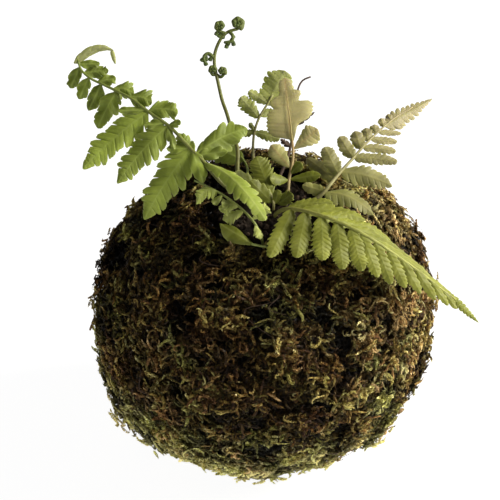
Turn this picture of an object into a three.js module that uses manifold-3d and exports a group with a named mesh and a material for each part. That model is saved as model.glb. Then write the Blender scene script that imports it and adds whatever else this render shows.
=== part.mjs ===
// A kokedama: a ball of soil wrapped in a thick sheath of living moss, with ferns and
// a seedling growing out of the open top. Millimetres, +Z up. The origin is the middle
// of the flat spot that the ball rests on, +X is to the right and +Y is away from the
// front.
import * as THREE from "three";
import { mergeVertices } from "three/addons/utils/BufferGeometryUtils.js";
import Module from "manifold-3d";

const wasm = await Module();
wasm.setup();

// The ball
const BALL_RADIUS = 60;
const BALL_HALF_HEIGHT = 57;
const CENTRE_HEIGHT = 55;
const MOSS_THICKNESS = 8;
const RELIEF_HEIGHT = 1.2;
const SWELLINGS = [
  { at: [-0.77, -0.36, -0.53], height: 2.6, width: 0.42 },
  { at: [-0.9, 0.25, 0.36], height: 1.7, width: 0.3 },
  { at: [0.84, 0.31, 0.44], height: 1.8, width: 0.32 },
];
const MOUTH_HALF_ANGLE = 23;
const MOUTH_TILT = 10;

// The soil
const SOIL_GAP = 0.4;
const CAVITY_ROOM = 0.8;
const SOIL_SUNK = 4;
const SOIL_LUMP = 0.7;
const ROOT_CLEARANCE = 1.6;
const HOLE_DEPTH = 10;
const HOLE_GAP = 0.35;
const HOLE_CLEAR_HEIGHT = 2;
const HOLE_SIDES = 6;

// The leaves
const BLADE_THICKNESS = 0.7;
const BLADE_BASE_HALF = 0.35;
const BLADE_TIP_HALF = 0.16;
const STEM_SIDES = 5;

// The front view that the plants are placed in: 35 degrees above the level, from 900 mm
const SIGHT_ELEVATION = THREE.MathUtils.degToRad(35);
const SIGHT_DISTANCE = 900;
const SIGHT_UP = new THREE.Vector3(0, Math.sin(SIGHT_ELEVATION), Math.cos(SIGHT_ELEVATION));
const SIGHT_TOWARD = new THREE.Vector3(0, -Math.cos(SIGHT_ELEVATION), Math.sin(SIGHT_ELEVATION));

// The point that shows `across` mm right and `up` mm above the ball's centre and lies
// `toward` mm nearer than it: a nearer point is drawn in by toward / distance.
function seen(across, up, toward) {
  const shrink = 1 - toward / SIGHT_DISTANCE;
  return new THREE.Vector3(across * shrink, 0, CENTRE_HEIGHT)
    .addScaledVector(SIGHT_UP, up * shrink)
    .addScaledVector(SIGHT_TOWARD, toward);
}

function vector(point) {
  return new THREE.Vector3(point[0], point[1], point[2]);
}

// A closed surface as a BufferGeometry
function surface(points, faces) {
  const geometry = new THREE.BufferGeometry();
  const positions = points.flatMap((point) => [point.x, point.y, point.z]);
  geometry.setAttribute("position", new THREE.Float32BufferAttribute(positions, 3));
  geometry.setIndex(faces.flat());
  return geometry;
}

function solidOf(geometry) {
  const merged = mergeVertices(geometry, 1e-4);
  const vertProperties = new Float32Array(merged.attributes.position.array);
  const triVerts = new Uint32Array(merged.index.array);
  return new wasm.Manifold(new wasm.Mesh({ numProp: 3, vertProperties, triVerts }));
}

function meshOf(name, solid, colour, roughness) {
  const { vertProperties, triVerts } = solid.getMesh();
  const geometry = new THREE.BufferGeometry();
  geometry.setAttribute("position", new THREE.BufferAttribute(vertProperties, 3));
  geometry.setIndex(new THREE.BufferAttribute(triVerts, 1));
  geometry.computeVertexNormals();
  const material = new THREE.MeshStandardMaterial({ color: colour, roughness, metalness: 0 });
  const mesh = new THREE.Mesh(geometry, material);
  mesh.name = name;
  return mesh;
}

function fuse(solids) {
  return solids.reduce((whole, solid) => whole.add(solid));
}

// A body of rings: the first and last rows are single points, and each other row is a
// ring of `around` points. place(row, turn) gives a point, and turn runs from 0 to 1.
function ringBody(rows, around, place) {
  const points = [place(rows[0], 0)];
  const faces = [];
  const inner = rows.slice(1, -1);
  for (const row of inner) {
    for (let j = 0; j < around; j += 1) points.push(place(row, j / around));
  }
  points.push(place(rows.at(-1), 0));
  const last = points.length - 1;
  for (let j = 0; j < around; j += 1) {
    const next = (j + 1) % around;
    faces.push([0, 1 + j, 1 + next]);
    for (let i = 0; i < inner.length - 1; i += 1) {
      const near = 1 + i * around;
      const far = near + around;
      faces.push([near + j, far + next, near + next], [near + j, far + j, far + next]);
    }
    const end = 1 + (inner.length - 1) * around;
    faces.push([end + j, last, end + next]);
  }
  return surface(points, faces);
}

// The direction at a polar angle and turn, both in degrees. The pole leans towards the
// front by MOUTH_TILT at the mouth and by nothing at the bottom.
function ballDirection(polar, turn) {
  const lean = MOUTH_TILT * (1 - THREE.MathUtils.smoothstep(polar, 30, 150));
  const direction = new THREE.Vector3().setFromSphericalCoords(
    1, THREE.MathUtils.degToRad(polar), THREE.MathUtils.degToRad(turn) + Math.PI / 2);
  direction.set(direction.z, direction.x, direction.y);
  return direction.applyAxisAngle(new THREE.Vector3(1, 0, 0), THREE.MathUtils.degToRad(lean));
}

// A point of a ball that is drawn in by `inset` mm from the moss's outer surface
function ballPoint(direction, inset) {
  return new THREE.Vector3(
    direction.x * (BALL_RADIUS - inset),
    direction.y * (BALL_RADIUS - inset),
    CENTRE_HEIGHT + direction.z * (BALL_HALF_HEIGHT - inset));
}

// Soft clumps of moss: two products of waves, about 16 mm from crest to crest, and at the
// sides three broad swellings that fall off as exp(-(distance / width)^2)
function clumps(direction) {
  const { x, y, z } = direction;
  const broad = Math.sin(9 * x + 4 * y + 1) * Math.sin(10 * z - 5 * y + 2);
  const fine = Math.sin(14 * y + 6 * z) * Math.sin(15 * x - 7 * z + 0.5);
  return SWELLINGS.reduce((height, swelling) => {
    const apart = direction.distanceTo(vector(swelling.at)) / swelling.width;
    return height + swelling.height * Math.exp(-apart * apart);
  }, broad + 0.8 * fine);
}

// The moss sheath: up the outside, over the rounded lip and down the inner wall
function mossSheath() {
  const around = 50;
  const lowest = 180;
  const outerRows = 23;
  const innerRows = 8;
  const rows = [];
  const lipStart = MOUTH_HALF_ANGLE + 5;
  for (let i = 0; i <= outerRows; i += 1) {
    rows.push({ polar: THREE.MathUtils.lerp(lowest, lipStart, i / outerRows), inset: 0 });
  }
  rows.push({ polar: MOUTH_HALF_ANGLE + 2, inset: 0.7 });
  rows.push({ polar: MOUTH_HALF_ANGLE + 0.4, inset: 2.4 });
  rows.push({ polar: MOUTH_HALF_ANGLE, inset: 5 });
  for (let i = 0; i <= innerRows; i += 1) {
    const polar = THREE.MathUtils.lerp(MOUTH_HALF_ANGLE, lowest, i / innerRows);
    rows.push({ polar, inset: MOSS_THICKNESS - CAVITY_ROOM });
  }
  const place = ({ polar, inset }, turn) => {
    const direction = ballDirection(polar, 360 * turn);
    const calm = 1 - THREE.MathUtils.smoothstep(polar, 140, 160);
    const outer = inset === 0 ? RELIEF_HEIGHT * calm * clumps(direction) : 0;
    const point = ballPoint(direction, inset - outer);
    point.z = Math.max(point.z, 0);
    return point;
  };
  return solidOf(ringBody(rows.reverse(), around, place));
}

// The soil: a smooth ball inside the moss with a low crumbly mound in the mouth
function soilBall(holes) {
  const around = 24;
  const rowCount = 13;
  const rows = [];
  for (let i = 0; i <= rowCount; i += 1) {
    rows.push({ polar: 180 * (i / rowCount) ** 1.4 });
  }
  const place = ({ polar }, turn) => {
    const direction = ballDirection(polar, 360 * turn);
    const covered = THREE.MathUtils.smoothstep(polar, MOUTH_HALF_ANGLE - 9, MOUTH_HALF_ANGLE - 2);
    const lumps = Math.sin(31 * direction.x + 1) * Math.sin(29 * direction.y + 2);
    const open = SOIL_SUNK + SOIL_LUMP * lumps;
    return ballPoint(direction, THREE.MathUtils.lerp(open, MOSS_THICKNESS + SOIL_GAP, covered));
  };
  return holes.reduce((soil, hole) => soil.subtract(hole), solidOf(ringBody(rows, around, place)));
}

// A round stem along a smooth curve through the points, tapered evenly, closed at both ends
function stem(points, startRadius, endRadius, steps, sides = STEM_SIDES) {
  const path = new THREE.CatmullRomCurve3(points.map(vector));
  const frames = path.computeFrenetFrames(steps, false);
  const ring = [];
  const faces = [];
  for (let i = 0; i <= steps; i += 1) {
    const centre = path.getPointAt(i / steps);
    const radius = THREE.MathUtils.lerp(startRadius, endRadius, i / steps);
    for (let j = 0; j < sides; j += 1) {
      const angle = (2 * Math.PI * j) / sides;
      const point = centre.clone()
        .addScaledVector(frames.normals[i], radius * Math.cos(angle))
        .addScaledVector(frames.binormals[i], radius * Math.sin(angle));
      ring.push(seen(point.x, point.y, point.z));
    }
  }
  const end = steps * sides;
  for (let j = 0; j < sides; j += 1) {
    const next = (j + 1) % sides;
    for (let i = 0; i < steps; i += 1) {
      const near = i * sides;
      const far = near + sides;
      faces.push([near + j, near + next, far + next], [near + j, far + next, far + j]);
    }
    if (j > 0 && next > 0) faces.push([0, next, j], [end, end + j, end + next]);
  }
  return solidOf(surface(ring, faces));
}

// A thin leaf from rows of top points: both faces have the same triangles and lie
// `drop` apart, so they never cross
function slab(rows, drop) {
  const columns = rows[0].length;
  const points = rows.flat();
  const count = points.length;
  points.push(...points.map((point) => point.clone().add(drop)));
  const faces = [];
  const wall = (a, b) => faces.push([a, b, b + count], [a, b + count, a + count]);
  for (let i = 0; i < rows.length - 1; i += 1) {
    const near = i * columns;
    const far = near + columns;
    for (let k = 0; k < columns - 1; k += 1) {
      const [a, b, c, d] = [near + k, far + k, far + k + 1, near + k + 1];
      faces.push([a, b, c], [a, c, d], [c + count, b + count, a + count], [d + count, c + count, a + count]);
    }
    wall(far, near);
    wall(near + columns - 1, far + columns - 1);
  }
  const start = (rows.length - 1) * columns;
  for (let k = 0; k < columns - 1; k += 1) {
    wall(k, k + 1);
    wall(start + k + 1, start + k);
  }
  const placed = points.map((point) => seen(point.x, point.y, point.z));
  return solidOf(surface(placed, faces));
}

// How broad a blade is at a share s of its length: sin(pi * s^k)^power, with its widest
// place at s = peak
function swell(s, peak, power) {
  const k = Math.log(0.5) / Math.log(peak);
  return Math.sin(Math.PI * s ** k) ** power;
}

const LEAF_FORM = {
  facing: [0, 0.25, 1],
  peak: 0.3,
  power: 0.75,
  cut: 0.38,
  slant: 0.45,
  rise: 0,
  bulge: 0,
  keel: 0.16,
  steps: 2,
};

// A lobed blade from base to tip. Its midrib bends up by `rise` and out by `bulge` in
// the middle. Each edge swings out to half * swell at a lobe and is drawn in by `cut`
// between two lobes, and lobes point forward by `slant` of their width. The midrib
// stands `keel` of the width above the edges.
function blade(base, tip, half, lobes, form = {}) {
  const { facing, peak, power, cut, slant, rise, bulge, keel, steps } = { ...LEAF_FORM, ...form };
  const start = vector(base);
  const span = vector(tip).sub(start);
  const face = vector(facing).normalize();
  const side = new THREE.Vector3().crossVectors(face, span).normalize();
  const out = new THREE.Vector3().crossVectors(span, side).normalize();
  const along = span.clone().normalize();
  const stations = steps * lobes;
  const rows = [];
  for (let i = 0; i <= stations; i += 1) {
    const s = i / stations;
    const bend = 4 * s * (1 - s);
    const middle = start.clone().addScaledVector(span, s).addScaledVector(out, bulge * bend);
    middle.y += rise * bend;
    const notch = 1 - cut * Math.abs(Math.cos(Math.PI * (i / steps)));
    const least = THREE.MathUtils.lerp(BLADE_BASE_HALF, BLADE_TIP_HALF, s);
    const width = Math.max(least, half * swell(s, peak, power) * notch);
    const reach = i === stations ? 0 : slant * width;
    const edge = (sign) => middle.clone()
      .addScaledVector(side, sign * width)
      .addScaledVector(along, reach)
      .addScaledVector(out, -keel * width);
    rows.push([edge(-1), middle, edge(1)]);
  }
  return slab(rows, out.multiplyScalar(-BLADE_THICKNESS));
}

// The place on a stem that shows nearest to (across, up)
function nearestOn(points, across, up) {
  const samples = new THREE.CatmullRomCurve3(points.map(vector)).getPoints(120);
  const distance = (point) => Math.hypot(point.x - across, point.y - up);
  const best = samples.reduce((a, b) => (distance(b) < distance(a) ? b : a));
  return [best.x, best.y, best.z];
}

// A leaflet on a stem: [across, up] where it springs, its tip, half width and lobes
function leaflets(points, list, form = {}) {
  return list.map(([across, up, tip, half, lobes, own]) => (
    blade(nearestOn(points, across, up), tip, half, lobes, { ...form, ...own })));
}

// Where a stem comes out of the soil, by how it shows from the front: the place on that
// line of sight that lies ROOT_CLEARANCE above the soil, found by halving
function onSoil(across, up) {
  const inset = SOIL_SUNK - ROOT_CLEARANCE;
  let [below, above] = [0, BALL_RADIUS];
  for (let i = 0; i < 30; i += 1) {
    const middle = (below + above) / 2;
    const point = seen(across, up, middle);
    const flat = Math.hypot(point.x, point.y) / (BALL_RADIUS - inset);
    const height = (point.z - CENTRE_HEIGHT) / (BALL_HALF_HEIGHT - inset);
    if (Math.hypot(flat, height) < 1) below = middle;
    else above = middle;
  }
  return [across, up, above];
}

// The straight foot of a stem, which points at the ball's centre and is set HOLE_DEPTH
// deep, and the plain hole that it stands in
function foot(points, radius) {
  const root = vector(points[0]);
  const away = root.clone().normalize();
  const at = (distance) => root.clone().addScaledVector(away, distance).toArray();
  const wide = radius + HOLE_GAP;
  return {
    rooted: stem([at(-HOLE_DEPTH), at(0), at(0.6)], radius, radius, 1),
    hole: stem([at(-HOLE_DEPTH - HOLE_GAP), at(0), at(HOLE_CLEAR_HEIGHT)], wide, wide, 1, HOLE_SIDES),
  };
}

// The big fern frond on the left. It leans out over the rim and droops at its tip, and
// its lowest right-hand leaflet is a soft pale one that hangs back over the mouth.
const LEFT_STIPE = [
  onSoil(-9.4, 40.8), [-15.4, 45.6, 40], [-21.6, 53, 39], [-26.2, 57.6, 38], [-33.2, 65, 37],
  [-40.1, 69.8, 35], [-47, 75, 33], [-55.8, 79.4, 30], [-61.1, 82, 28], [-64.2, 85, 26.5],
  [-65.4, 88.4, 26],
];
const LEFT_LEAFLETS = [
  [-26.2, 57, [-42.2, 32.6, 39], 6, 5, { rise: 1.5, cut: 0.3 }],
  [-33.9, 65, [-51.6, 45.2, 38.5], 5.2, 5, { rise: 1.5, cut: 0.36 }],
  [-40.8, 70.2, [-63.6, 50.2, 36.5], 5.4, 5, { rise: 1.2, cut: 0.36 }],
  [-51.8, 77, [-58.4, 64.4, 31], 3.6, 3, { rise: 1 }],
  [-57.2, 80, [-61.6, 70.6, 29], 2.6, 2],
  [-61.6, 82.2, [-65, 74.6, 27.5], 2.1, 2],
  [-64.4, 86, [-68, 78.4, 26], 2.2, 2],
  [-26.2, 57, [-34.4, 57.4, 38], 1.8, 2],
  [-25.6, 56.6, [-21.6, 45.4, 43.8], 2.7, 2],
  [-34.4, 65.4, [-31.6, 57, 38.5], 1.4, 2],
  [-35, 65.8, [-42.4, 65.6, 37], 1.6, 2],
  [-41.6, 70.6, [-51.4, 70.6, 35], 1.7, 2],
  [-33.6, 65.6, [-29.4, 66.8, 39], 1.3, 1],
  [-40.8, 70.4, [-30.4, 69.8, 36.5], 3.6, 3, { rise: 1.2 }],
  [-47.6, 75.2, [-39.4, 73.4, 33.5], 3.4, 3, { rise: 1 }],
  [-53.4, 78.2, [-45.6, 76.4, 31], 2.9, 2, { rise: 1 }],
  [-58.4, 81, [-52, 82, 29], 2.2, 2],
  [-62.8, 84.2, [-54.6, 84.6, 27], 2.3, 2],
  [-64.6, 86.8, [-57.6, 87, 26.4], 1.7, 2],
  [-24.6, 56, [-30.6, 62.8, 36], 2.3, 2],
  [-24.2, 55.6, [-6.2, 64.4, 33], 4.2, 4, { rise: 1.2, peak: 0.42, cut: 0.3 }],
  [-23.4, 54.8, [-13, 56.6, 39], 2.2, 2],
  [-21.2, 52.8, [0.2, 32.4, 57], 3.9, 5, { rise: 2.2, bulge: 2, peak: 0.54, facing: [0.3, 0.5, 1] }],
];
const LEFT_TIP = [[-66.8, 87.2, 26], [-52.8, 91.6, 27], 1.8, 3, { rise: 2.4, facing: [0, -0.3, 1] }];
const LEFT_TIP_HOOK = [[-53.6, 91.8, 26.8], [-52.2, 86.8, 27.2], 0.9, 1];

// The unrolling frond: a thin stem with coils at its tip
const FIDDLE_STEM = [
  onSoil(-9.5, 44), [-9.6, 50.5, 30], [-9.6, 57.2, 28], [-11.2, 62.2, 25], [-13.4, 69.8, 21],
  [-15, 74.4, 18.5], [-16.4, 80.6, 17], [-17.6, 86.4, 16.4], [-17.4, 91, 16], [-15.2, 96, 16],
  [-12.9, 98.1, 16], [-9.4, 99.2, 16],
];
const COIL_TURNS = 1.3;
const COIL_STEPS = 9;

// The small upright frond behind the middle
const YOUNG_STEM = [
  onSoil(-2.5, 45.5), [-4, 53.4, 25], [-3.9, 62, 22], [-2.2, 67.8, 20], [1, 73.2, 19], [2.6, 76, 18.5],
];
const YOUNG_LEAFLETS = [
  [-3.8, 63.2, [-8.6, 62.6, 22.5], 1.3, 2],
  [-3.8, 63.4, [-5.4, 66.4, 22], 0.8, 1],
  [-3.4, 63, [5.2, 60.8, 20.6], 1.6, 3],
  [-2.2, 68, [-8.6, 75.4, 19], 2.3, 3, { peak: 0.55 }],
  [-1.6, 68.6, [2.8, 71, 18], 1.2, 1],
  [1, 73.2, [-5.8, 77.4, 18], 1.6, 2],
  [0.4, 72.6, [6.9, 84.6, 15.5], 4.6, 4, { peak: 0.42, cut: 0.2, slant: 0.3 }],
];

// The seedling: one pale lobed leaf, with round toothed leaflets lower on its stem
const SEEDLING_STEM = [
  onSoil(8, 41.2), [8.4, 46.4, 35], [9.7, 53.4, 33], [9.8, 57, 31.5], [9.4, 60.6, 30],
];
const ROUND_LEAFLET = { peak: 0.6, cut: 0.14 };
const BIG_LEAF = { peak: 0.42, cut: 0.42, slant: 0.4, power: 0.6, keel: 0.08, steps: 4 };
const SEEDLING_LEAFLETS = [
  [9.4, 59.6, [6.9, 82, 25.5], 8.4, 3, BIG_LEAF],
  [9.8, 57, [18.4, 64.2, 31.5], 3.6, 4, ROUND_LEAFLET],
  [8.8, 50.4, [2, 58.6, 32], 3.1, 4, ROUND_LEAFLET],
  [8.3, 46.2, [1.7, 47, 36], 2.3, 3, ROUND_LEAFLET],
  [8.4, 46.6, [19.4, 48.2, 38], 2.1, 3, ROUND_LEAFLET],
  [8.8, 48.4, [12.7, 52.4, 37], 1.9, 2, ROUND_LEAFLET],
  [8, 42.6, [5.2, 38.6, 41.5], 1.7, 2, ROUND_LEAFLET],
];

// A dry brown stalk behind the seedling, with two withered scraps
const DRY_STEM = [
  onSoil(4.6, 45.6), [8.4, 56, 22], [10.8, 70, 19.5], [11.6, 78.4, 19.5], [13.2, 81.2, 19.5],
  [15.9, 82.4, 19.5],
];
const DRY_LEAFLETS = [
  [8.9, 58, [5.4, 60.8, 23], 1.2, 1],
  [10, 65.6, [17.4, 70.2, 22], 1, 1],
];

// The frond that rises to the right and ends in a long fine tip
const RIGHT_STIPE = [
  onSoil(14, 37.5), [19.9, 41.4, 42], [22.7, 44.9, 41], [25.1, 47.8, 39], [31.1, 54.4, 34], [35.9, 59.8, 29],
  [42.2, 65.6, 23], [46.6, 69, 19.5], [51.5, 71.8, 16],
];
const RIGHT_LEAFLETS = [
  [25.5, 48.4, [20.8, 58, 36], 2.9, 4, ROUND_LEAFLET],
  [30.7, 54.2, [26, 61.6, 31.5], 2.5, 3, ROUND_LEAFLET],
  [33.4, 57.2, [31.2, 63.4, 28], 2, 2, ROUND_LEAFLET],
  [36, 60, [35, 64.4, 26], 1.8, 2, ROUND_LEAFLET],
  [38.6, 62.4, [38.2, 65.6, 24.5], 1.4, 1, ROUND_LEAFLET],
  [41.4, 65, [40.4, 68, 22], 1.2, 1, ROUND_LEAFLET],
  [43.9, 67.2, [42.8, 69.4, 20.5], 1.1, 1, ROUND_LEAFLET],
  [26.2, 49.2, [44.4, 44.2, 38], 2.9, 5, { rise: 1.2 }],
  [31.1, 54.2, [46.2, 52.8, 33], 2.1, 4, { peak: 0.5, cut: 0.22, rise: 0.6 }],
  [34.2, 57.6, [45.6, 56.2, 29], 1.6, 3, { peak: 0.55, cut: 0.22, rise: 0.8 }],
  [37, 60.6, [46.2, 59.6, 25.5], 1.4, 3, { peak: 0.6, cut: 0.22 }],
  [39.7, 63, [47.2, 62.4, 22.5], 1.3, 2, { peak: 0.6, cut: 0.22 }],
  [42.4, 65.4, [48.4, 64.4, 20], 1.1, 1, { peak: 0.6 }],
  [45, 67.6, [49.2, 67.2, 18], 1, 1, { peak: 0.6 }],
  [41.6, 65.2, [58.4, 74.8, 12], 2.9, 6, { peak: 0.24, cut: 0.3 }],
  [20.4, 42, [37.8, 34.4, 43], 3, 3, { rise: 2.4, facing: [0.3, 0.7, 1] }],
  [24, 46.4, [14.5, 54, 24], 2.2, 3, { rise: 0.5 }],
];

// The frond that arches out over the front and right side of the ball
const FRONT_STIPE = [
  onSoil(3.8, 34.5), [7, 36.2, 48], [12.2, 36, 52.5], [19.2, 34.2, 56], [26.2, 31.6, 58], [33.2, 28.2, 58.5],
  [40.1, 24, 57], [47.1, 19.2, 54], [54.1, 14.2, 50], [61.1, 8.7, 46], [66.6, 4.7, 43],
];
const FRONT_LOWER = [
  [9.8, 35.8, [1.6, 19.4, 60.6], 3, 4],
  [14.4, 35.2, [11, 19.3, 61.5], 3.2, 4],
  [19.8, 33.8, [20.2, 18.4, 62.5], 3.3, 4],
  [25, 31.8, [27.3, 15.2, 62.5], 3.1, 4],
  [29.6, 29.4, [34, 14.6, 61.5], 2.8, 4],
  [33.4, 27.6, [39.6, 12.4, 60], 2.4, 3],
  [38, 24.8, [44.2, 10, 58], 2.2, 3],
  [42.6, 21.8, [49.2, 8.8, 55], 2, 3],
  [47.2, 18.6, [54.4, 6.8, 52], 1.8, 2],
  [52.4, 15, [59.6, 4.7, 49], 1.6, 2],
  [57.4, 11.4, [64, 2.6, 46], 1.3, 2],
  [61.4, 8.2, [67, 1.4, 44], 1.1, 1],
];
const FRONT_UPPER = [
  [7.4, 36, [23.8, 38.4, 48], 2.2, 3, { rise: 1 }],
  [12.4, 36, [35, 32.4, 50], 2.6, 3, { rise: 1.6 }],
  [18.8, 34.6, [38.6, 28.2, 48.5], 2.6, 3, { rise: 1.4 }],
  [24.6, 32.6, [43.8, 25.4, 46], 2.5, 3, { rise: 1.2 }],
  [29.4, 30.4, [47.6, 21.6, 44], 2.4, 2, { rise: 1 }],
  [34.2, 28, [51.6, 18, 42.5], 2.3, 2, { rise: 1 }],
  [39.2, 25, [55.6, 14.4, 41.5], 2.1, 2, { rise: 0.8 }],
  [44, 21.8, [59, 11.6, 40.5], 1.9, 2, { rise: 0.8 }],
  [49, 18.2, [62, 9.4, 40], 1.4, 2],
  [54.6, 14, [65, 7, 40], 1.2, 1],
];
const FRONT_TIP = [[63.6, 7, 44.4], [74.6, -3.4, 39], 1.6, 4, { cut: 0.24 }];

// A young limp frond that leans back over the mouth's left rim
const LIMP_STEM = [
  onSoil(-1, 25.5), [-3.4, 31, 51], [-7, 35.2, 50], [-11, 38.6, 48], [-15.4, 41.6, 45.5], [-21.4, 44.8, 42.4],
  [-24.6, 46.2, 40.8],
];
const LIMP_LEAFLETS = [
  [-7.4, 35.6, [-14.8, 32.6, 49.6], 2.6, 3, { peak: 0.5 }],
  [-9.4, 37, [-15.2, 38.6, 51], 2.6, 2, { peak: 0.5 }],
  [-11.4, 38.8, [-15.4, 35.4, 50.4], 2.4, 2, { peak: 0.5 }],
  [-14.8, 41.2, [-18.2, 38, 49], 1.4, 1, { peak: 0.5 }],
  [-16.6, 42.4, [-24, 38, 46.8], 2.8, 3, { peak: 0.4, rise: 2.6 }],
  [-4.4, 32.8, [1.6, 36.6, 50.5], 2.2, 3, { peak: 0.5, rise: 1.2 }],
  [-3.4, 31, [-1.6, 25.8, 54], 1.6, 2, { peak: 0.5 }],
];

// Single leaves
const OVAL_STEM = [onSoil(0.6, 23), [-1.4, 23.4, 52.6], [-4.6, 24, 53.2]];
const OVAL_FORM = { peak: 0.5, cut: 0.04, facing: [-0.1, 0.6, 1] };
const OVAL_LEAF = [[-3.8, 23.8, 52.8], [-15.8, 31.2, 52], 3, 2, OVAL_FORM];
const BACK_STEM = [onSoil(-6, 46.4), [-6.4, 51.4, 25.5], [-8.4, 54.6, 24.5]];
const BACK_LEAF = [[-7.4, 53.2, 24.8], [-18.6, 58.6, 22.5], 3.8, 4, { peak: 0.5, cut: 0.14 }];
const MIDDLE_STEM = [onSoil(3, 37.6), [2.6, 40, 40.5], [1.6, 42.4, 40]];
const MIDDLE_LEAF = [[2.3, 41, 40.2], [-3, 54.6, 37.5], 3.6, 5, { peak: 0.5, cut: 0.2 }];

// Stem radii at the foot and at the tip
const STOUT = [0.95, 0.5];
const SLENDER = [0.7, 0.45];

const holes = [];

// One plant node: its stem with a straight foot in the soil, and everything that grows on it
function plant(name, points, [startRadius, endRadius], steps, grown, colour) {
  const { rooted, hole } = foot(points, startRadius);
  holes.push(hole);
  const solids = [rooted, stem(points, startRadius, endRadius, steps), ...grown];
  return meshOf(name, fuse(solids), colour, 0.6);
}

// A flat coil that starts at `from`, about `centre`, and tightens to its middle
function coil(centre, from, radius) {
  const start = Math.atan2(from[1] - centre[1], from[0] - centre[0]);
  const reach = Math.hypot(from[0] - centre[0], from[1] - centre[1]);
  const turn = centre[0] > from[0] ? -1 : 1;
  const points = [];
  for (let i = 0; i <= COIL_STEPS; i += 1) {
    const share = i / COIL_STEPS;
    const angle = start + turn * 2 * Math.PI * COIL_TURNS * share;
    const distance = reach * (1 - 0.8 * share);
    points.push([
      centre[0] + distance * Math.cos(angle),
      centre[1] + distance * Math.sin(angle),
      centre[2] + 0.5 * share,
    ]);
  }
  return stem(points, radius, 0.7 * radius, COIL_STEPS, 4);
}

function fiddlehead() {
  const curls = [
    coil([-9.6, 101.3, 16], [-9.4, 99.2, 16], 0.5),
    stem([[-13.6, 97.4, 16], [-15.4, 98.2, 16.2], [-16.9, 99, 16.4]], 0.5, 0.45, 3, 4),
    coil([-15.5, 100, 16.4], [-16.9, 99, 16.4], 0.45),
    stem([[-12.4, 98.2, 16], [-11, 95.6, 16.8], [-12.2, 93.4, 17], [-15.2, 92.8, 17]], 0.5, 0.4, 5, 4),
    stem([[-17.6, 89, 16], [-19.8, 90.6, 16.6], [-21.4, 89.4, 17], [-20.9, 87.2, 17]], 0.6, 0.45, 6, 4),
    stem([[-17, 83.6, 16], [-18.2, 83.2, 16.6], [-19, 84.2, 17]], 0.5, 0.45, 3, 4),
    coil([-18, 85, 17], [-19, 84.2, 17], 0.42),
    stem([[-16.8, 83, 16], [-15.4, 82.4, 16.6], [-14.2, 83.4, 17]], 0.5, 0.45, 3, 4),
    coil([-15, 84.4, 17], [-14.2, 83.4, 17], 0.42),
  ];
  return plant("fiddlehead", FIDDLE_STEM, [0.75, 0.5], 13, curls, 0x5c6b2c);
}

const GREEN = 0x66722c;
const SOFT_GREEN = 0x848a3c;
const PALE = 0x99936a;
const BRIGHT = 0x93a04c;
const DRY = 0x3a2c1e;

const plants = [
  plant("left_frond", LEFT_STIPE, STOUT, 18, [
    ...leaflets(LEFT_STIPE, LEFT_LEAFLETS),
    blade(...LEFT_TIP),
    blade(...LEFT_TIP_HOOK),
  ], GREEN),
  fiddlehead(),
  plant("young_frond", YOUNG_STEM, SLENDER, 8, leaflets(YOUNG_STEM, YOUNG_LEAFLETS), SOFT_GREEN),
  plant("seedling", SEEDLING_STEM, [0.9, 0.7], 6, leaflets(SEEDLING_STEM, SEEDLING_LEAFLETS), PALE),
  plant("dry_stalk", DRY_STEM, [0.5, 0.4], 10, leaflets(DRY_STEM, DRY_LEAFLETS), DRY),
  plant("right_frond", RIGHT_STIPE, STOUT, 14, leaflets(RIGHT_STIPE, RIGHT_LEAFLETS), PALE),
  plant("front_frond", FRONT_STIPE, STOUT, 16, [
    ...leaflets(FRONT_STIPE, FRONT_LOWER, { cut: 0.24, power: 0.55, peak: 0.36, facing: [0.1, 0.3, 1] }),
    ...leaflets(FRONT_STIPE, FRONT_UPPER, { cut: 0.24, power: 0.55, peak: 0.36, facing: [0.3, 0.9, 0.8] }),
    blade(...FRONT_TIP),
  ], SOFT_GREEN),
  plant("limp_frond", LIMP_STEM, SLENDER, 9, leaflets(LIMP_STEM, LIMP_LEAFLETS), BRIGHT),
  plant("oval_leaf", OVAL_STEM, SLENDER, 3, [blade(...OVAL_LEAF)], BRIGHT),
  plant("back_leaf", BACK_STEM, SLENDER, 3, [blade(...BACK_LEAF)], GREEN),
  plant("middle_leaf", MIDDLE_STEM, SLENDER, 3, [blade(...MIDDLE_LEAF)], SOFT_GREEN),
];

const kokedama = new THREE.Group();
kokedama.add(meshOf("moss_sheath", mossSheath(), 0x5a4c2a, 1));
kokedama.add(meshOf("soil_ball", soilBall(holes), 0x2c2218, 1));
kokedama.add(...plants);

export default kokedama;
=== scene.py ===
# %% [markdown]
# # A kokedama
# A kokedama is a ball of soil wrapped in living moss, with ferns and a seedling growing
# out of its open top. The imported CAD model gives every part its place. This script
# dresses that frame with small moss shoots, finely lobed leaves and lumpy soil.

# %% Load the frame
import math
from itertools import combinations
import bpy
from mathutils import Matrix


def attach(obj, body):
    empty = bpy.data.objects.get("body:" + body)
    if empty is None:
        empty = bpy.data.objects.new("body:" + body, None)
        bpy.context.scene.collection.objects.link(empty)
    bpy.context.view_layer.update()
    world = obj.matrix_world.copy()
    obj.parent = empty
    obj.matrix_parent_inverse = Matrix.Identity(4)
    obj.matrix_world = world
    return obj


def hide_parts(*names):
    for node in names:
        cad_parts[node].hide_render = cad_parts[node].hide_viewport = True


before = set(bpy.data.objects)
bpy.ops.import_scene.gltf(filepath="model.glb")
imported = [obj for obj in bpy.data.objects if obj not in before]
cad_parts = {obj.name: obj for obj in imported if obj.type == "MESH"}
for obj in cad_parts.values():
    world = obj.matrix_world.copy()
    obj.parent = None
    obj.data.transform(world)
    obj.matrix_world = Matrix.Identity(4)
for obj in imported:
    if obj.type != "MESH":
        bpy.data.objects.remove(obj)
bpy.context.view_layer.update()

from types import SimpleNamespace

import bpy
import numpy as np
from mathutils import Vector

print("nodes:", ", ".join(sorted(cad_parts)))

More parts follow.
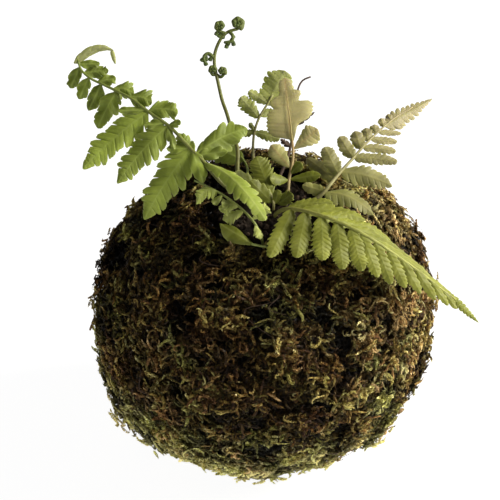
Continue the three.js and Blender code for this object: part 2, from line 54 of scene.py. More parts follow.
# %% [markdown]
# ## Camera
# The leaves were placed by how they look from the front, 35 degrees above the level and
# 900 mm away. The camera stands in that same place with a long lens. A small lens shift
# frames the ball low, with its leaves above.

# %% The camera
MM = 0.001
SIGHT_ELEVATION = math.radians(35)
SIGHT_DISTANCE = 900.0
CENTRE = np.array([0.0, 0.0, 55.0])
ACROSS = np.array([1.0, 0.0, 0.0])
UPWARD = np.array([0.0, math.sin(SIGHT_ELEVATION), math.cos(SIGHT_ELEVATION)])
TOWARD = np.array([0.0, -math.cos(SIGHT_ELEVATION), math.sin(SIGHT_ELEVATION)])
PICTURE_WIDTH = 174.5
SENSOR_WIDTH = 36.0
SHIFT = (-0.030, 0.126)


def add_object(name, data):
    """An object of a mesh, a light or a camera, linked into the scene."""
    made = bpy.data.objects.new(name, data)
    bpy.context.scene.collection.objects.link(made)
    return made


camera_data = bpy.data.cameras.new("camera")
camera_data.sensor_width = SENSOR_WIDTH
camera_data.lens = SENSOR_WIDTH * SIGHT_DISTANCE / PICTURE_WIDTH
camera_data.shift_x, camera_data.shift_y = SHIFT
camera = add_object("camera", camera_data)
camera.location = Vector((CENTRE + SIGHT_DISTANCE * TOWARD) * MM)
camera.rotation_euler = Vector(-TOWARD).to_track_quat("-Z", "Y").to_euler()
bpy.context.scene.camera = camera
print("lens", round(camera_data.lens, 1), "mm")

# %% [markdown]
# ## Shapes from numbers
# Every surface is a grid of points that numpy works out at once. Several grids are joined
# into one mesh. A colour attribute named tint goes with the points and tells the
# materials where the veins, edges, old tips and bases are; the moss bases get painted shade.

# %% Grids, meshes and pieces
def unit(vectors):
    """Each vector divided by its length."""
    vectors = np.asarray(vectors, float)
    return vectors / np.maximum(np.linalg.norm(vectors, axis=-1, keepdims=True), 1e-9)


def smoothstep(values, low, high):
    """3 t^2 - 2 t^3, where t runs from 0 at `low` to 1 at `high`."""
    share = np.clip((np.asarray(values, float) - low) / (high - low), 0, 1)
    return share * share * (3 - 2 * share)


def between(pair, share):
    """The value at a share of the way from the pair's first to its second."""
    return pair[0] + (pair[1] - pair[0]) * share


def grid_faces(rows, columns, closed=False):
    """Two triangles for each cell of a grid. A closed grid joins its last column to its first."""
    row = np.arange(rows - 1)[:, None] * columns
    column = np.arange(columns if closed else columns - 1)[None, :]
    a, b = row + column, row + (column + 1) % columns
    c, d = a + columns, b + columns
    return np.concatenate([np.stack(corners, -1).reshape(-1, 3) for corners in ((a, b, d), (a, d, c))])


def joined(parts):
    """One (points, faces, tints) from several. Each part's face numbers move up by the points
    before it."""
    points, faces, tints = ([own.reshape(-1, own.shape[-1]) for own in kind] for kind in zip(*parts))
    starts = np.cumsum([0] + [len(own) for own in points[:-1]])
    faces = [own + start for own, start in zip(faces, starts)]
    return np.concatenate(points), np.concatenate(faces), np.concatenate(tints)


def piece(name, parts, material, replaced=(), smooth=True):
    """A mesh object from parts in millimetres, which rides on the root body."""
    points, faces, tints = joined(parts)
    mesh = bpy.data.meshes.new(name)
    mesh.vertices.add(len(points))
    mesh.vertices.foreach_set("co", (points * MM).astype(np.float32).ravel())
    mesh.loops.add(faces.size)
    mesh.loops.foreach_set("vertex_index", faces.astype(np.int32).ravel())
    mesh.polygons.add(len(faces))
    mesh.polygons.foreach_set("loop_start", np.arange(0, faces.size, 3, dtype=np.int32))
    mesh.polygons.foreach_set("use_smooth", np.full(len(faces), smooth))
    tint = mesh.attributes.new("tint", "FLOAT_COLOR", "POINT")
    tint.data.foreach_set("color", tints.astype(np.float32).ravel())
    mesh.update(calc_edges=True)
    mesh.materials.append(material)
    made = add_object(name, mesh)
    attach(made, "root")
    if replaced:
        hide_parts(*replaced)
    print(name, len(faces), "triangles")


# %% Points as the front view shows them
CURVE_SAMPLES = 600
CURVE_STEPS = (((0, 1), (1, 2), (2, 3)), ((0, 2), (1, 3)), ((1, 2),))
END_REACH = 0.6


def seen(points):
    """(across, up, toward) as shown from the front to (x, y, z): a point `toward` mm nearer
    than the ball's centre is drawn in by toward / distance."""
    points = np.asarray(points, float)
    across, up, toward = points[..., 0:1], points[..., 1:2], points[..., 2:3]
    shrink = 1 - toward / SIGHT_DISTANCE
    return CENTRE + across * shrink * ACROSS + up * shrink * UPWARD + toward * TOWARD


def smooth_path(points, count):
    """A centripetal Catmull-Rom curve through the points, sampled evenly by length. Its knots
    are apart by the square root of the points' distance. Each of its three steps blends
    neighbours in proportion to how far t is between two knots."""
    p = np.asarray(points, float)
    p = np.vstack([2 * p[0] - p[1], p, 2 * p[-1] - p[-2]])
    knots = np.concatenate([[0], np.cumsum(np.linalg.norm(np.diff(p, axis=0), axis=1) ** 0.5)])
    t = np.linspace(knots[1], knots[-2], CURVE_SAMPLES)
    i = np.clip(np.searchsorted(knots, t, side="right") - 1, 1, len(p) - 3)
    knot = [knots[i + k][:, None] for k in (-1, 0, 1, 2)]
    dense = [p[i + k] for k in (-1, 0, 1, 2)]
    t = t[:, None]
    for spans in CURVE_STEPS:
        dense = [
            ((knot[b] - t) * first + (t - knot[a]) * second) / (knot[b] - knot[a])
            for (a, b), first, second in zip(spans, dense, dense[1:])
        ]
    length = np.concatenate([[0], np.cumsum(np.linalg.norm(np.diff(dense[0], axis=0), axis=1))])
    wanted = np.linspace(0, length[-1], count)
    return np.stack([np.interp(wanted, length, dense[0][:, k]) for k in range(3)], -1)


def tube(path, radii, sides, ends=(0, 1), vein=0.0):
    """A round rod along a path: ring i has radius radii[i] round path[i], and one more point
    closes each end. The tint's green runs from ends[0] to ends[1] along it."""
    tangent = unit(np.gradient(path, axis=0))
    least = np.eye(3)[np.argmin(np.abs(tangent).max(0))]
    side = unit(np.cross(tangent, least))
    out = np.cross(tangent, side)
    angle = np.linspace(0, 2 * math.pi, sides, endpoint=False)[None, :, None]
    circle = np.cos(angle) * side[:, None] + np.sin(angle) * out[:, None]
    rings = path[:, None] + radii[:, None, None] * circle
    tips = [path[k] + way * tangent[k] * radii[k] * END_REACH for k, way in ((0, -1), (-1, 1))]
    points = np.concatenate([rings.reshape(-1, 3), tips])
    around = np.arange(sides)
    following = (around + 1) % sides
    last = (len(path) - 1) * sides
    start_cap = np.stack([following, around, np.full(sides, len(points) - 2)], -1)
    end_cap = np.stack([last + around, last + following, np.full(sides, len(points) - 1)], -1)
    faces = np.concatenate([grid_faces(len(path), sides, closed=True), start_cap, end_cap])
    tints = np.tile([vein, 0.0, 0.5, 0.0], (len(points), 1))
    tints[:, 1] = np.concatenate([np.repeat(np.linspace(*ends, len(path)), sides), ends])
    return points, faces, tints


print("helpers ready")

# %% [markdown]
# ## The ball's form
# The moss ball is a flattened globe whose pole, with the open mouth, leans a little
# towards the front. Soft clumps swell its surface. These are the CAD model's own
# formulas, so the moss shoots root on the form that the CAD gives.

# %% The ball's formulas
BALL_RADIUS = 60.0
BALL_HALF_HEIGHT = 57.0
BALL_RADII = [BALL_RADIUS, BALL_RADIUS, BALL_HALF_HEIGHT]
RELIEF_HEIGHT = 1.2
SWELLINGS = [
    ((-0.77, -0.36, -0.53), 2.6, 0.42), ((-0.9, 0.25, 0.36), 1.7, 0.3), ((0.84, 0.31, 0.44), 1.8, 0.32),
]
MOUTH_TILT = 10.0
SOIL_SUNK = 4.0
ROOT_CLEARANCE = 1.6


def ball_direction(polar, turn):
    """The direction at a polar angle and turn in degrees, with the pole leant by MOUTH_TILT."""
    polar, turn = np.broadcast_arrays(np.asarray(polar, float), np.asarray(turn, float))
    lean = np.radians(MOUTH_TILT * (1 - smoothstep(polar, 30, 150)))
    across, round_ = np.radians(polar), np.radians(turn + 90)
    x = np.sin(across) * np.cos(round_)
    y = np.sin(across) * np.sin(round_)
    z = np.cos(across)
    return np.stack([x, y * np.cos(lean) - z * np.sin(lean), y * np.sin(lean) + z * np.cos(lean)], -1)


def ball_point(direction, inset):
    """The point of the ball in a direction, `inset` mm inside its outer surface."""
    inset = np.asarray(inset, float)
    flat = BALL_RADIUS - inset
    high = BALL_HALF_HEIGHT - inset
    x, y, z = np.moveaxis(direction, -1, 0)
    return np.stack([x * flat, y * flat, np.maximum(CENTRE[2] + z * high, 0.0)], -1)


def far_out(points):
    """How far out a point lies, as a share of the ball's radius on its way."""
    return np.linalg.norm((points - CENTRE) / BALL_RADII, axis=-1)


def clumps(direction):
    """Two products of waves, about 16 mm from crest to crest, and at the sides three broad
    swellings that fall off as exp(-(distance / width) ^ 2)."""
    x, y, z = np.moveaxis(direction, -1, 0)
    broad = np.sin(9 * x + 4 * y + 1) * np.sin(10 * z - 5 * y + 2)
    fine = np.sin(14 * y + 6 * z) * np.sin(15 * x - 7 * z + 0.5)
    clumpy = broad + 0.8 * fine
    for place, height, width in SWELLINGS:
        apart = np.linalg.norm(direction - np.array(place), axis=-1)
        clumpy = clumpy + height * np.exp(-(apart / width) ** 2)
    return clumpy


def relief(direction, polar):
    """How far the clumps stand out, in mm. They fade to nothing towards the flat spot."""
    return RELIEF_HEIGHT * (1 - smoothstep(polar, 140, 160)) * clumps(direction)


print("ball", 2 * BALL_RADIUS, "mm wide")

# %% [markdown]
# ## Shared effects
# Two node groups serve several finishes. One is a soft mottling, a noise in the object's
# own coordinates. The other is a fine relief of two noises, for each finish's bump.

# %% Node helpers and the two groups
def add_node(tree, kind, inputs=None, **settings):
    """A node with its settings, and with each input set to a value or linked to a socket."""
    made = tree.nodes.new(kind)
    for key, value in settings.items():
        setattr(made, key, value)
    for key, value in (inputs or {}).items():
        if isinstance(value, bpy.types.NodeSocket):
            tree.links.new(value, made.inputs[key])
        else:
            made.inputs[key].default_value = value
    return made


def mix_colours(tree, factor, first, second, blend="MIX"):
    """The colour socket of a Mix node between two colours."""
    inputs = {0: factor, 6: first, 7: second}
    return add_node(tree, "ShaderNodeMix", inputs, data_type="RGBA", blend_type=blend).outputs[2]


def dimmed(tree, colour, factor):
    """A colour multiplied by a factor."""
    grey = add_node(tree, "ShaderNodeCombineColor", {k: factor for k in range(3)})
    return mix_colours(tree, 1.0, colour, grey.outputs[0], "MULTIPLY")


def ranged(tree, value, low, high, start=0.0, end=1.0):
    """The socket of a Map Range node, from low..high to start..end."""
    return add_node(tree, "ShaderNodeMapRange", {0: value, 1: low, 2: high, 3: start, 4: end}).outputs[0]


def ramp_of(tree, value, stops):
    """A colour ramp with its stops as (place, colour)."""
    ramp = add_node(tree, "ShaderNodeValToRGB", {0: value})
    elements = ramp.color_ramp.elements
    for element, (position, colour) in zip(elements, (stops[0], stops[-1])):
        element.position, element.color = position, (*colour, 1)
    for position, colour in stops[1:-1]:
        elements.new(position).color = (*colour, 1)
    return ramp.outputs[0]


def noise_of(tree, scale, detail):
    """A noise in the object's own coordinates."""
    place = add_node(tree, "ShaderNodeTexCoord").outputs["Object"]
    inputs = {"Vector": place, "Scale": scale, "Detail": detail}
    return add_node(tree, "ShaderNodeTexNoise", inputs).outputs[0]


def new_group(name, inputs, output):
    """An empty node group with float inputs and one float output: the group, the sockets of its
    inputs by name, and the socket that takes its result."""
    group = bpy.data.node_groups.new(name, "ShaderNodeTree")
    for label, value in inputs.items():
        socket = group.interface.new_socket(label, in_out="INPUT", socket_type="NodeSocketFloat")
        socket.default_value = value
    group.interface.new_socket(output, in_out="OUTPUT", socket_type="NodeSocketFloat")
    result = group.nodes.new("NodeGroupOutput").inputs[output]
    return group, group.nodes.new("NodeGroupInput").outputs, result


mottle, given, result = new_group("soft mottle", {"Scale": 100.0, "Least": 0.8, "Most": 1.2}, "Factor")
spread = ranged(mottle, noise_of(mottle, given["Scale"], 4.0), 0.3, 0.7)
mottle.links.new(ranged(mottle, spread, 0.0, 1.0, given["Least"], given["Most"]), result)

grain, given, result = new_group("fine relief", {"Coarse scale": 400.0, "Fine scale": 1500.0}, "Height")
coarse = noise_of(grain, given["Coarse scale"], 3.0)
fine = noise_of(grain, given["Fine scale"], 2.0)
both = add_node(grain, "ShaderNodeMath", {0: fine, 1: 0.4, 2: coarse}, operation="MULTIPLY_ADD")
grain.links.new(both.outputs[0], result)
print("groups:", mottle.name, "and", grain.name)


# %% What every finish shares
def start_finish(name):
    """A material with its tree, its shader, and the four parts of the tint attribute."""
    material = bpy.data.materials.new(name)
    material.use_nodes = True
    tree = material.node_tree
    tint = add_node(tree, "ShaderNodeAttribute", attribute_name="tint")
    parts = add_node(tree, "ShaderNodeSeparateColor", {0: tint.outputs["Color"]})
    return material, tree, tree.nodes["Principled BSDF"], (*parts.outputs[:3], tint.outputs["Alpha"])


def mottled(tree, colour, scale, least, most):
    """A colour multiplied by the soft mottle."""
    inputs = {"Scale": scale, "Least": least, "Most": most}
    return dimmed(tree, colour, add_node(tree, "ShaderNodeGroup", inputs, node_tree=mottle).outputs[0])


def set_surface(tree, shader, colour, roughness, gloss):
    """Links the shader's colour and sets its roughness and how strongly it reflects."""
    tree.links.new(colour, shader.inputs["Base Color"])
    shader.inputs["Roughness"].default_value = roughness
    shader.inputs["Specular IOR Level"].default_value = gloss


def roughen(tree, shader, coarse, fine, depth, strength):
    """The fine relief, `depth` metres deep, as a bump on the shader."""
    inputs = {"Coarse scale": coarse, "Fine scale": fine}
    height = add_node(tree, "ShaderNodeGroup", inputs, node_tree=grain).outputs[0]
    inputs = {"Height": height, "Distance": depth, "Strength": strength}
    tree.links.new(add_node(tree, "ShaderNodeBump", inputs).outputs[0], shader.inputs["Normal"])


# %% [markdown]
# ## Leaf finish
# A fern leaf is matt and thin, so light comes out of it again nearby. Its veins and rim
# are paler, and its colour changes with age along the frond; on the left and limp fronds
# the age mask also carries painted light and shade. The tint holds these as masks: red for
# veins, green for age and that painted light and shade, blue for a leaflet's own tone, and
# alpha for the rim.

# %% Leaf finishes
def leaf_finish(name, young, old, vein, rim):
    """Base colour runs from `young` to `old` with age, which on some fronds also carries painted
    light and shade, then veins and rim are mixed in.
    """
    material, tree, shader, (veins, age_and_light, own, rims) = start_finish(name)
    body = mix_colours(tree, age_and_light, (*young, 1), (*old, 1))
    body = dimmed(tree, body, ranged(tree, own, 0, 1, 0.8, 1.2))
    body = mottled(tree, body, scale=260.0, least=0.8, most=1.18)
    body = mix_colours(tree, ranged(tree, veins, 0, 1, 0, 0.6), body, (*vein, 1))
    body = mix_colours(tree, ranged(tree, rims, 0, 1, 0, 0.5), body, (*rim, 1))
    set_surface(tree, shader, body, roughness=0.55, gloss=0.3)
    shader.inputs["Subsurface Weight"].default_value = 0.25
    shader.inputs["Subsurface Radius"].default_value = (0.9, 1.0, 0.35)
    shader.inputs["Subsurface Scale"].default_value = 0.0009
    roughen(tree, shader, coarse=900.0, fine=3200.0, depth=0.00012, strength=0.5)
    return material


# Each row has the colours of a young blade, an old blade, the veins and the rim
LEAF_COLOURS = {
    "frond green": ((0.148, 0.186, 0.021), (0.235, 0.288, 0.040), (0.30, 0.36, 0.08), (0.42, 0.48, 0.15)),
    "soft green": ((0.136, 0.154, 0.010), (0.238, 0.242, 0.036), (0.23, 0.25, 0.048), (0.35, 0.37, 0.085)),
    "pale leaf": ((0.170, 0.178, 0.032), (0.330, 0.275, 0.155), (0.27, 0.25, 0.075), (0.34, 0.31, 0.13)),
    "seedling leaf": ((0.240, 0.255, 0.052), (0.365, 0.320, 0.142), (0.37, 0.25, 0.10), (0.32, 0.31, 0.12)),
    "young leaf": ((0.230, 0.250, 0.050), (0.370, 0.375, 0.170), (0.34, 0.35, 0.14), (0.20, 0.25, 0.045)),
    # The limp leaf is painted brighter, as painted light, where the soft leaflet's shadow falls on it.
    "limp leaf painted bright": ((0.250, 0.300, 0.045), (0.520, 0.570, 0.150), (0.42, 0.46, 0.14), (0.50, 0.54, 0.17)),
    "bright leaf": ((0.212, 0.260, 0.034), (0.330, 0.375, 0.085), (0.38, 0.42, 0.12), (0.46, 0.50, 0.16)),
}
LEAF = {name: leaf_finish(name, *colours) for name, colours in LEAF_COLOURS.items()}
print("leaf finishes:", ", ".join(LEAF))

# %% [markdown]
# ## Stems and dry scraps
# A fern's stem is brown where it leaves the soil and turns green further up. The tint's
# green runs along a stem, and the colour follows it.

# %% Stem finishes
def stem_finish(name, foot, middle, top, roughness=0.5):
    """Colour by a ramp along the stem, mottled."""
    material, tree, shader, (_, along, _, _) = start_finish(name)
    colour = ramp_of(tree, along, [(0.0, foot), (0.45, middle), (1.0, top)])
    colour = mottled(tree, colour, scale=420.0, least=0.7, most=1.25)
    set_surface(tree, shader, colour, roughness, gloss=0.35)
    roughen(tree, shader, coarse=700.0, fine=2600.0, depth=0.0002, strength=0.7)
    return material


# Each row has the colours of the foot, the middle and the top, and a few their roughness
STEM_COLOURS = {
    "green stem": ((0.17, 0.16, 0.045), (0.16, 0.18, 0.035), (0.20, 0.25, 0.045)),
    "pale stem": ((0.12, 0.10, 0.04), (0.24, 0.22, 0.075), (0.27, 0.26, 0.09)),
    "tan stem": ((0.20, 0.18, 0.07), (0.27, 0.25, 0.09), (0.36, 0.30, 0.15)),
    "bright stem": ((0.10, 0.10, 0.035), (0.20, 0.23, 0.05), (0.27, 0.32, 0.08)),
    "leafy stem": ((0.20, 0.19, 0.045), (0.27, 0.28, 0.055), (0.36, 0.36, 0.085)),
    "olive stem": ((0.15, 0.13, 0.04), (0.17, 0.17, 0.04), (0.12, 0.14, 0.03)),
    "warm stem": ((0.24, 0.19, 0.07), (0.33, 0.25, 0.10), (0.38, 0.25, 0.10)),
    "coil green": ((0.17, 0.17, 0.05), (0.14, 0.16, 0.035), (0.062, 0.095, 0.014), 0.6),
    "dry brown": ((0.05, 0.030, 0.016), (0.062, 0.036, 0.022), (0.085, 0.052, 0.038), 0.75),
}
STEM = {name: stem_finish(name, *colours) for name, colours in STEM_COLOURS.items()}
print("stem finishes:", ", ".join(STEM))

# %% [markdown]
# ## One fern leaflet
# A leaflet is a thin blade cut into toothed lobes. Its rows run obliquely from the midrib,
# so a lobe leans forward and its rows never cross. The edge is a broad swell times a notch
# profile, a rounded superellipse in each lobe. The midrib is a low ridge, each lobe has a
# sunken vein and puffs up a little between the cuts, and the rim curls down.

# %% The blade
# The first line of values faces and widens the blade, the next two cut its lobes and teeth,
# and the last two bend it, thicken it and give its veins or its drawn edges
BLADE_FORM = dict(
    facing=(0, 0.25, 1), peak=0.3, power=0.75, taper=0.0, broaden=1.0,
    cut=0.5, mend=0.7, blunt=2.2, late=1.15, crowding=0.35, rows=8,
    teeth=0, tooth=0.0, uneven=0.05, offset=0.0, slant=0.55,
    rise=0.0, bulge=0.0, keel=0.16, puff=0.16, furrow=0.05, wave=0.12,
    twist=0.0, thickness=0.3, vein=0.3, edges=None, side_veins=None,
)
COLUMN_SHARES = np.array([0, 0.1, 0.3, 0.55, 0.8, 0.94, 1.0])
CUTS_BEGIN = (-0.05, 0.12)
CUTS_MEND = (0.82, 1.0)
LEAST_HALF = (0.28, 0.05)
DRAWN_ROWS = 76
DRAWN_TOOTH = 0.033
DRAWN_TOOTH_LENGTH = 1.3
VEIN_PLACE = 0.55
FURROW_WIDTH = 0.1
SIDE_VEIN_WIDTH = 0.09
MIDRIB_HEIGHT = 0.11
MIDRIB_WIDTH = 0.24
RIM_CURL = 0.12
PUFF_LIMIT = 2.5
EDGE_THINNING = 0.6


def swell(s, peak, power, taper):
    """sin(pi s^k)^power, which is widest at s = peak. With a taper t it is the product of
    (s / peak)^(t peak / (1 - peak)) and ((1 - s) / (1 - peak))^t, which ends in a point."""
    if taper:
        start = (np.clip(s, 1e-6, 1) / peak) ** (taper * peak / (1 - peak))
        return start * (np.clip(1 - s, 0, 1) / (1 - peak)) ** taper
    k = math.log(0.5) / math.log(peak)
    return np.sin(math.pi * np.clip(s, 0, 1) ** k) ** power


def lobed_outline(half, lobes, f, own_tone, share):
    """Lobe number n sits where n = lobes (s + g s^2) / (1 + g), so lobes crowd towards the tip by
    g = crowding. The half width is half * swell * (1 - cut (1 - P) - tooth T^1.5 P), with
    P = (1 - |2 f^late - 1|^blunt)^(1/blunt) for a share f of a lobe and T for a share of one of
    its teeth. The right side's lobes are moved on by `offset`."""
    number = (np.arange(lobes)[:, None] + np.arange(f.rows) / f.rows).ravel()
    number = np.append(number, lobes)[:, None]
    g = f.crowding
    s = (np.sqrt(1 + 4 * g * (1 + g) * number / lobes) - 1) / (2 * g)

    shifted = number + f.offset * (share > 0)
    lobe = np.floor(shifted) + 0.5 * (share > 0)
    phase = shifted % 1.0
    profile = np.clip(1 - np.abs(2 * phase ** f.late - 1) ** f.blunt, 0, 1) ** (1 / f.blunt)
    depth = f.cut * smoothstep(s, *CUTS_BEGIN) * (1 - f.mend * smoothstep(s, *CUTS_MEND))
    # The sines of lobe and tone are steady odd values, so each lobe has its own size
    depth = depth * (1 + 2 * f.uneven * np.sin(3.1 * lobe + 11 * own_tone))
    uneven = 1 + f.uneven * np.sin(4.7 * lobe + 17 * own_tone) * np.sin(math.pi * phase)
    full = half * f.broaden * swell(s, f.peak, f.power, f.taper) * uneven
    notch = 1 - depth * (1 - profile) - f.tooth * (phase * f.teeth % 1.0) ** 1.5 * profile
    return s, phase, profile, np.maximum(between(LEAST_HALF, s), full * notch)


def drawn_outline(length, edges, side_veins, share):
    """The half width on each side, the right one first, goes straight from one measured
    (along, out) point in mm to the next, with fine teeth of a thirtieth where it is broad.
    Side veins start at `side_veins`."""
    s = np.linspace(0, 1, DRAWN_ROWS)[:, None]
    widths, gaps = [], []
    for edge, places in zip(edges, side_veins):
        along, out = np.array(edge).T
        widths.append(np.interp(s * length, along, out))
        gaps.append(np.min(np.abs(s * length - np.array(places)), axis=1, keepdims=True))
    w = np.where(share < 0, *widths)
    teeth = np.sin(2 * math.pi * s * length / DRAWN_TOOTH_LENGTH) * smoothstep(w, 1.5, 3)
    w = w * (1 + DRAWN_TOOTH * teeth)
    phase = VEIN_PLACE + np.where(share < 0, *gaps) / 4
    return s, phase, np.ones_like(w), np.maximum(w, LEAST_HALF[1])


def fern_blade(base, tip, half, lobes, form, own_tone, ages_and_light):
    """A blade from base to tip in (across, up, toward), with a lobed or a drawn outline. A point
    that lies w out from the midrib is slant w further on. Its height is the sum of a keel, the
    lobes' puffs and furrows, the midrib's ridge, the rim's curl, a wave and a twist."""
    f = SimpleNamespace(**{**BLADE_FORM, **form})
    start = np.asarray(base, float)
    span = np.asarray(tip, float) - start
    length = np.linalg.norm(span)
    side = unit(np.cross(f.facing, span))
    out = unit(np.cross(span, side))
    share = np.concatenate([-COLUMN_SHARES[:0:-1], COLUMN_SHARES])[None, :]
    reach = np.abs(share)
    if f.edges:
        s, phase, profile, w = drawn_outline(length, f.edges, f.side_veins, share)
    else:
        s, phase, profile, w = lobed_outline(half, lobes, f, own_tone, share)

    bend = 4 * s * (1 - s)
    wobble = np.sin(2 * math.pi * (1.6 * s + 3.1 * own_tone))
    hollow = np.exp(-((phase - VEIN_PLACE) / FURROW_WIDTH) ** 2)
    height = (
        -f.keel * w * reach
        + f.puff * profile ** 0.7 * np.sin(math.pi * reach ** 0.8) * np.minimum(w, PUFF_LIMIT)
        - f.furrow * hollow * np.sin(math.pi * np.minimum(reach * 1.05, 1))
        + MIDRIB_HEIGHT * np.exp(-(reach * w / MIDRIB_WIDTH) ** 2)
        - RIM_CURL * w * reach ** 4
        + f.wave * w * reach * wobble * np.sign(share)
        + f.twist * w * share * (s - 0.3)
    )
    forward = f.slant * w * reach ** 1.15 * (1 - smoothstep(s, 0.7, 1.0))
    middle = start + span * s + out * f.bulge * bend
    middle[:, 1] += f.rise * bend[:, 0]
    shifts = side * (share * w)[..., None] + span / length * forward[..., None]
    top = middle[:, None] + shifts + out * height[..., None]
    thin = f.thickness * (1 - EDGE_THINNING * reach ** 2)
    under = top - out * np.broadcast_to(thin, height.shape)[..., None]

    rows, columns = height.shape
    number = np.arange(rows * columns).reshape(rows, columns)
    rim = np.concatenate([number[0], number[1:, -1], number[-1, -2::-1], number[-2:0:-1, 0]])
    ring = np.concatenate([rim, rim + number.size])
    sheet = grid_faces(rows, columns)
    wall = ring[grid_faces(2, len(rim), closed=True)]

    tints = np.zeros((rows, columns, 4))
    tints[..., 0] = np.maximum(
        np.exp(-(reach * w / f.vein) ** 2),
        0.4 * np.exp(-((phase - VEIN_PLACE) / SIDE_VEIN_WIDTH) ** 2) * (1 - reach) ** 0.5,
    )
    tints[..., 1] = between(ages_and_light, s)
    tints[..., 2] = own_tone
    tints[..., 3] = reach ** 12
    faces = np.concatenate([sheet[:, ::-1], sheet + number.size, wall])
    return seen(np.stack([top, under])), faces, np.stack([tints, tints])


# %% Roots, stems and leaflets
STEM_SIDES = 10
ROOT_DEPTH = 7.0
HALVINGS = 30
PATH_SAMPLES = 240
AGE_ALONG_LEAFLET = 0.25


def on_soil(across, up):
    """The (across, up, toward) of a root: `toward` is where that line of sight meets the
    globe that lies ROOT_CLEARANCE above the soil, found by halving."""
    inset = SOIL_SUNK - ROOT_CLEARANCE
    below, above = 0.0, BALL_RADIUS
    for _ in range(HALVINGS):
        middle = (below + above) / 2
        x, y, z = seen((across, up, middle)) - CENTRE
        flat = math.hypot(x, y) / (BALL_RADIUS - inset)
        if math.hypot(flat, z / (BALL_HALF_HEIGHT - inset)) < 1:
            below = middle
        else:
            above = middle
    return (across, up, above)


def stem_part(points, radii, steps, ends=(0, 1)):
    """A tapered stem along a smooth path of the seen points."""
    return tube(seen(smooth_path(points, steps)), np.linspace(*radii, steps), STEM_SIDES, ends)


def rooted_part(points, radii, steps, start=0.0):
    """A stem with a foot that points ROOT_DEPTH mm deep at the ball's centre. Its colours begin
    `start` of the way along their ramp."""
    root = np.asarray(points[0], float)
    return stem_part([root - unit(root) * ROOT_DEPTH, *points], radii, steps, (start, 1))


def frond(name, stem, radii, rings, stem_colours, leaves, leaf_colours, start=0.0):
    """Two pieces: a rooted stem, and its leaves, which replace the CAD's node of that name."""
    piece(f"{name}_stem", [rooted_part(stem, radii, rings, start)], STEM[stem_colours])
    piece(f"{name}_leaves", leaves, LEAF[leaf_colours], [name])


def leaflet_parts(points, rows, style, factor, seed, ages_and_light=(0, 1)):
    """A blade for each row of a table: it springs from the stem's nearest point. `factor` is how
    many fine lobes stand for one of the table's, and the ages run along the stem; on some
    fronds they carry painted light and shade."""
    rng = np.random.default_rng(seed)
    path = smooth_path(points, PATH_SAMPLES)
    parts = []
    for across, up, tip, half, lobes, *own in rows:
        nearest = int(np.argmin(np.hypot(path[:, 0] - across, path[:, 1] - up)))
        age_and_light = between(ages_and_light, nearest / (PATH_SAMPLES - 1))
        form = {**style, **(own[0] if own else {})}
        form["twist"] = rng.uniform(-0.22, 0.22)
        count = max(2, round(lobes * form.pop("factor", factor)))
        blade_ages_and_light = (age_and_light, min(1.0, age_and_light + AGE_ALONG_LEAFLET))
        parts.append(fern_blade(path[nearest], tip, half, count, form, rng.uniform(0.15, 0.85), blade_ages_and_light))
    return parts


print("leaf tools ready")

# %% [markdown]
# ## The big frond on the left
# Its leaflets hang and its tip droops. The largest are cut a third of the way to their
# midrib into blunt lobes. A soft, paler one hangs back over the mouth.

# %% The left frond
# A leaflet's row: its place on the stem, its tip, its half width and lobes, and its own form
LEFT_STIPE = [
    on_soil(-9.4, 40.8), (-15.4, 45.6, 40), (-21.6, 53, 39), (-26.2, 57.6, 38), (-33.2, 65, 37),
    (-40.1, 69.8, 35), (-47, 75, 33), (-55.8, 79.4, 30), (-61.1, 82, 28), (-64.2, 85, 26.5),
    (-65.4, 88.4, 26),
]
LEFT_LEAFLETS = [
    (-26.2, 57, (-42.2, 32.6, 39), 6, 5, dict(rise=1.5, peak=0.3)),
    (-33.9, 65, (-51.6, 45.2, 38.5), 5.2, 5, dict(rise=1.5)),
    (-40.8, 70.2, (-63.6, 50.2, 36.5), 5.4, 5, dict(rise=1.2)),
    (-51.8, 77, (-58.4, 64.4, 31), 3.6, 3, dict(rise=1)),
    (-57.2, 80, (-61.6, 70.6, 29), 2.6, 2),
    (-61.6, 82.2, (-65, 74.6, 27.5), 2.1, 2),
    (-64.4, 86, (-68, 78.4, 26), 2.2, 2),
    (-26.2, 57, (-34.4, 57.4, 38), 1.8, 2),
    (-25.6, 56.6, (-21.6, 45.4, 43.8), 2.7, 2),
    (-34.4, 65.4, (-31.6, 57, 38.5), 1.4, 2),
    (-35, 65.8, (-42.4, 65.6, 37), 1.6, 2),
    (-41.6, 70.6, (-51.4, 70.6, 35), 1.7, 2),
    (-33.6, 65.6, (-29.4, 66.8, 39), 1.3, 1),
    (-40.8, 70.4, (-30.4, 69.8, 36.5), 3.6, 3, dict(rise=1.2)),
    (-47.6, 75.2, (-39.4, 73.4, 33.5), 3.4, 3, dict(rise=1)),
    (-53.4, 78.2, (-45.6, 76.4, 31), 2.9, 3, dict(rise=1)),
    (-58.4, 81, (-52, 82, 29), 2.2, 2),
    (-62.8, 84.2, (-54.6, 84.6, 27), 2.3, 3),
    (-64.6, 86.8, (-57.6, 87, 26.4), 1.7, 2),
    (-24.6, 56, (-30.6, 62.8, 36), 2.3, 3),
    (-24.2, 55.6, (-6.2, 64.4, 33), 4.2, 4, dict(rise=1.2, peak=0.42)),
    (-23.4, 54.8, (-13, 56.6, 39), 2.2, 2),
]
SOFT_LEAFLET = [(
    -21.2, 52.8, (0.2, 32.4, 57), 4, 5,
    dict(rise=2.2, bulge=2, peak=0.56, facing=(0.3, 0.5, 1), keel=0.2),
)]
DEEP_LOBES = dict(
    cut=0.3, slant=0.6, blunt=2.3, late=1.25, taper=0.62, crowding=0.5, offset=0.5, teeth=2, tooth=0.06,
    uneven=0.2, rows=10, mend=0.4, puff=0.11, wave=0.2, furrow=0.06,
)
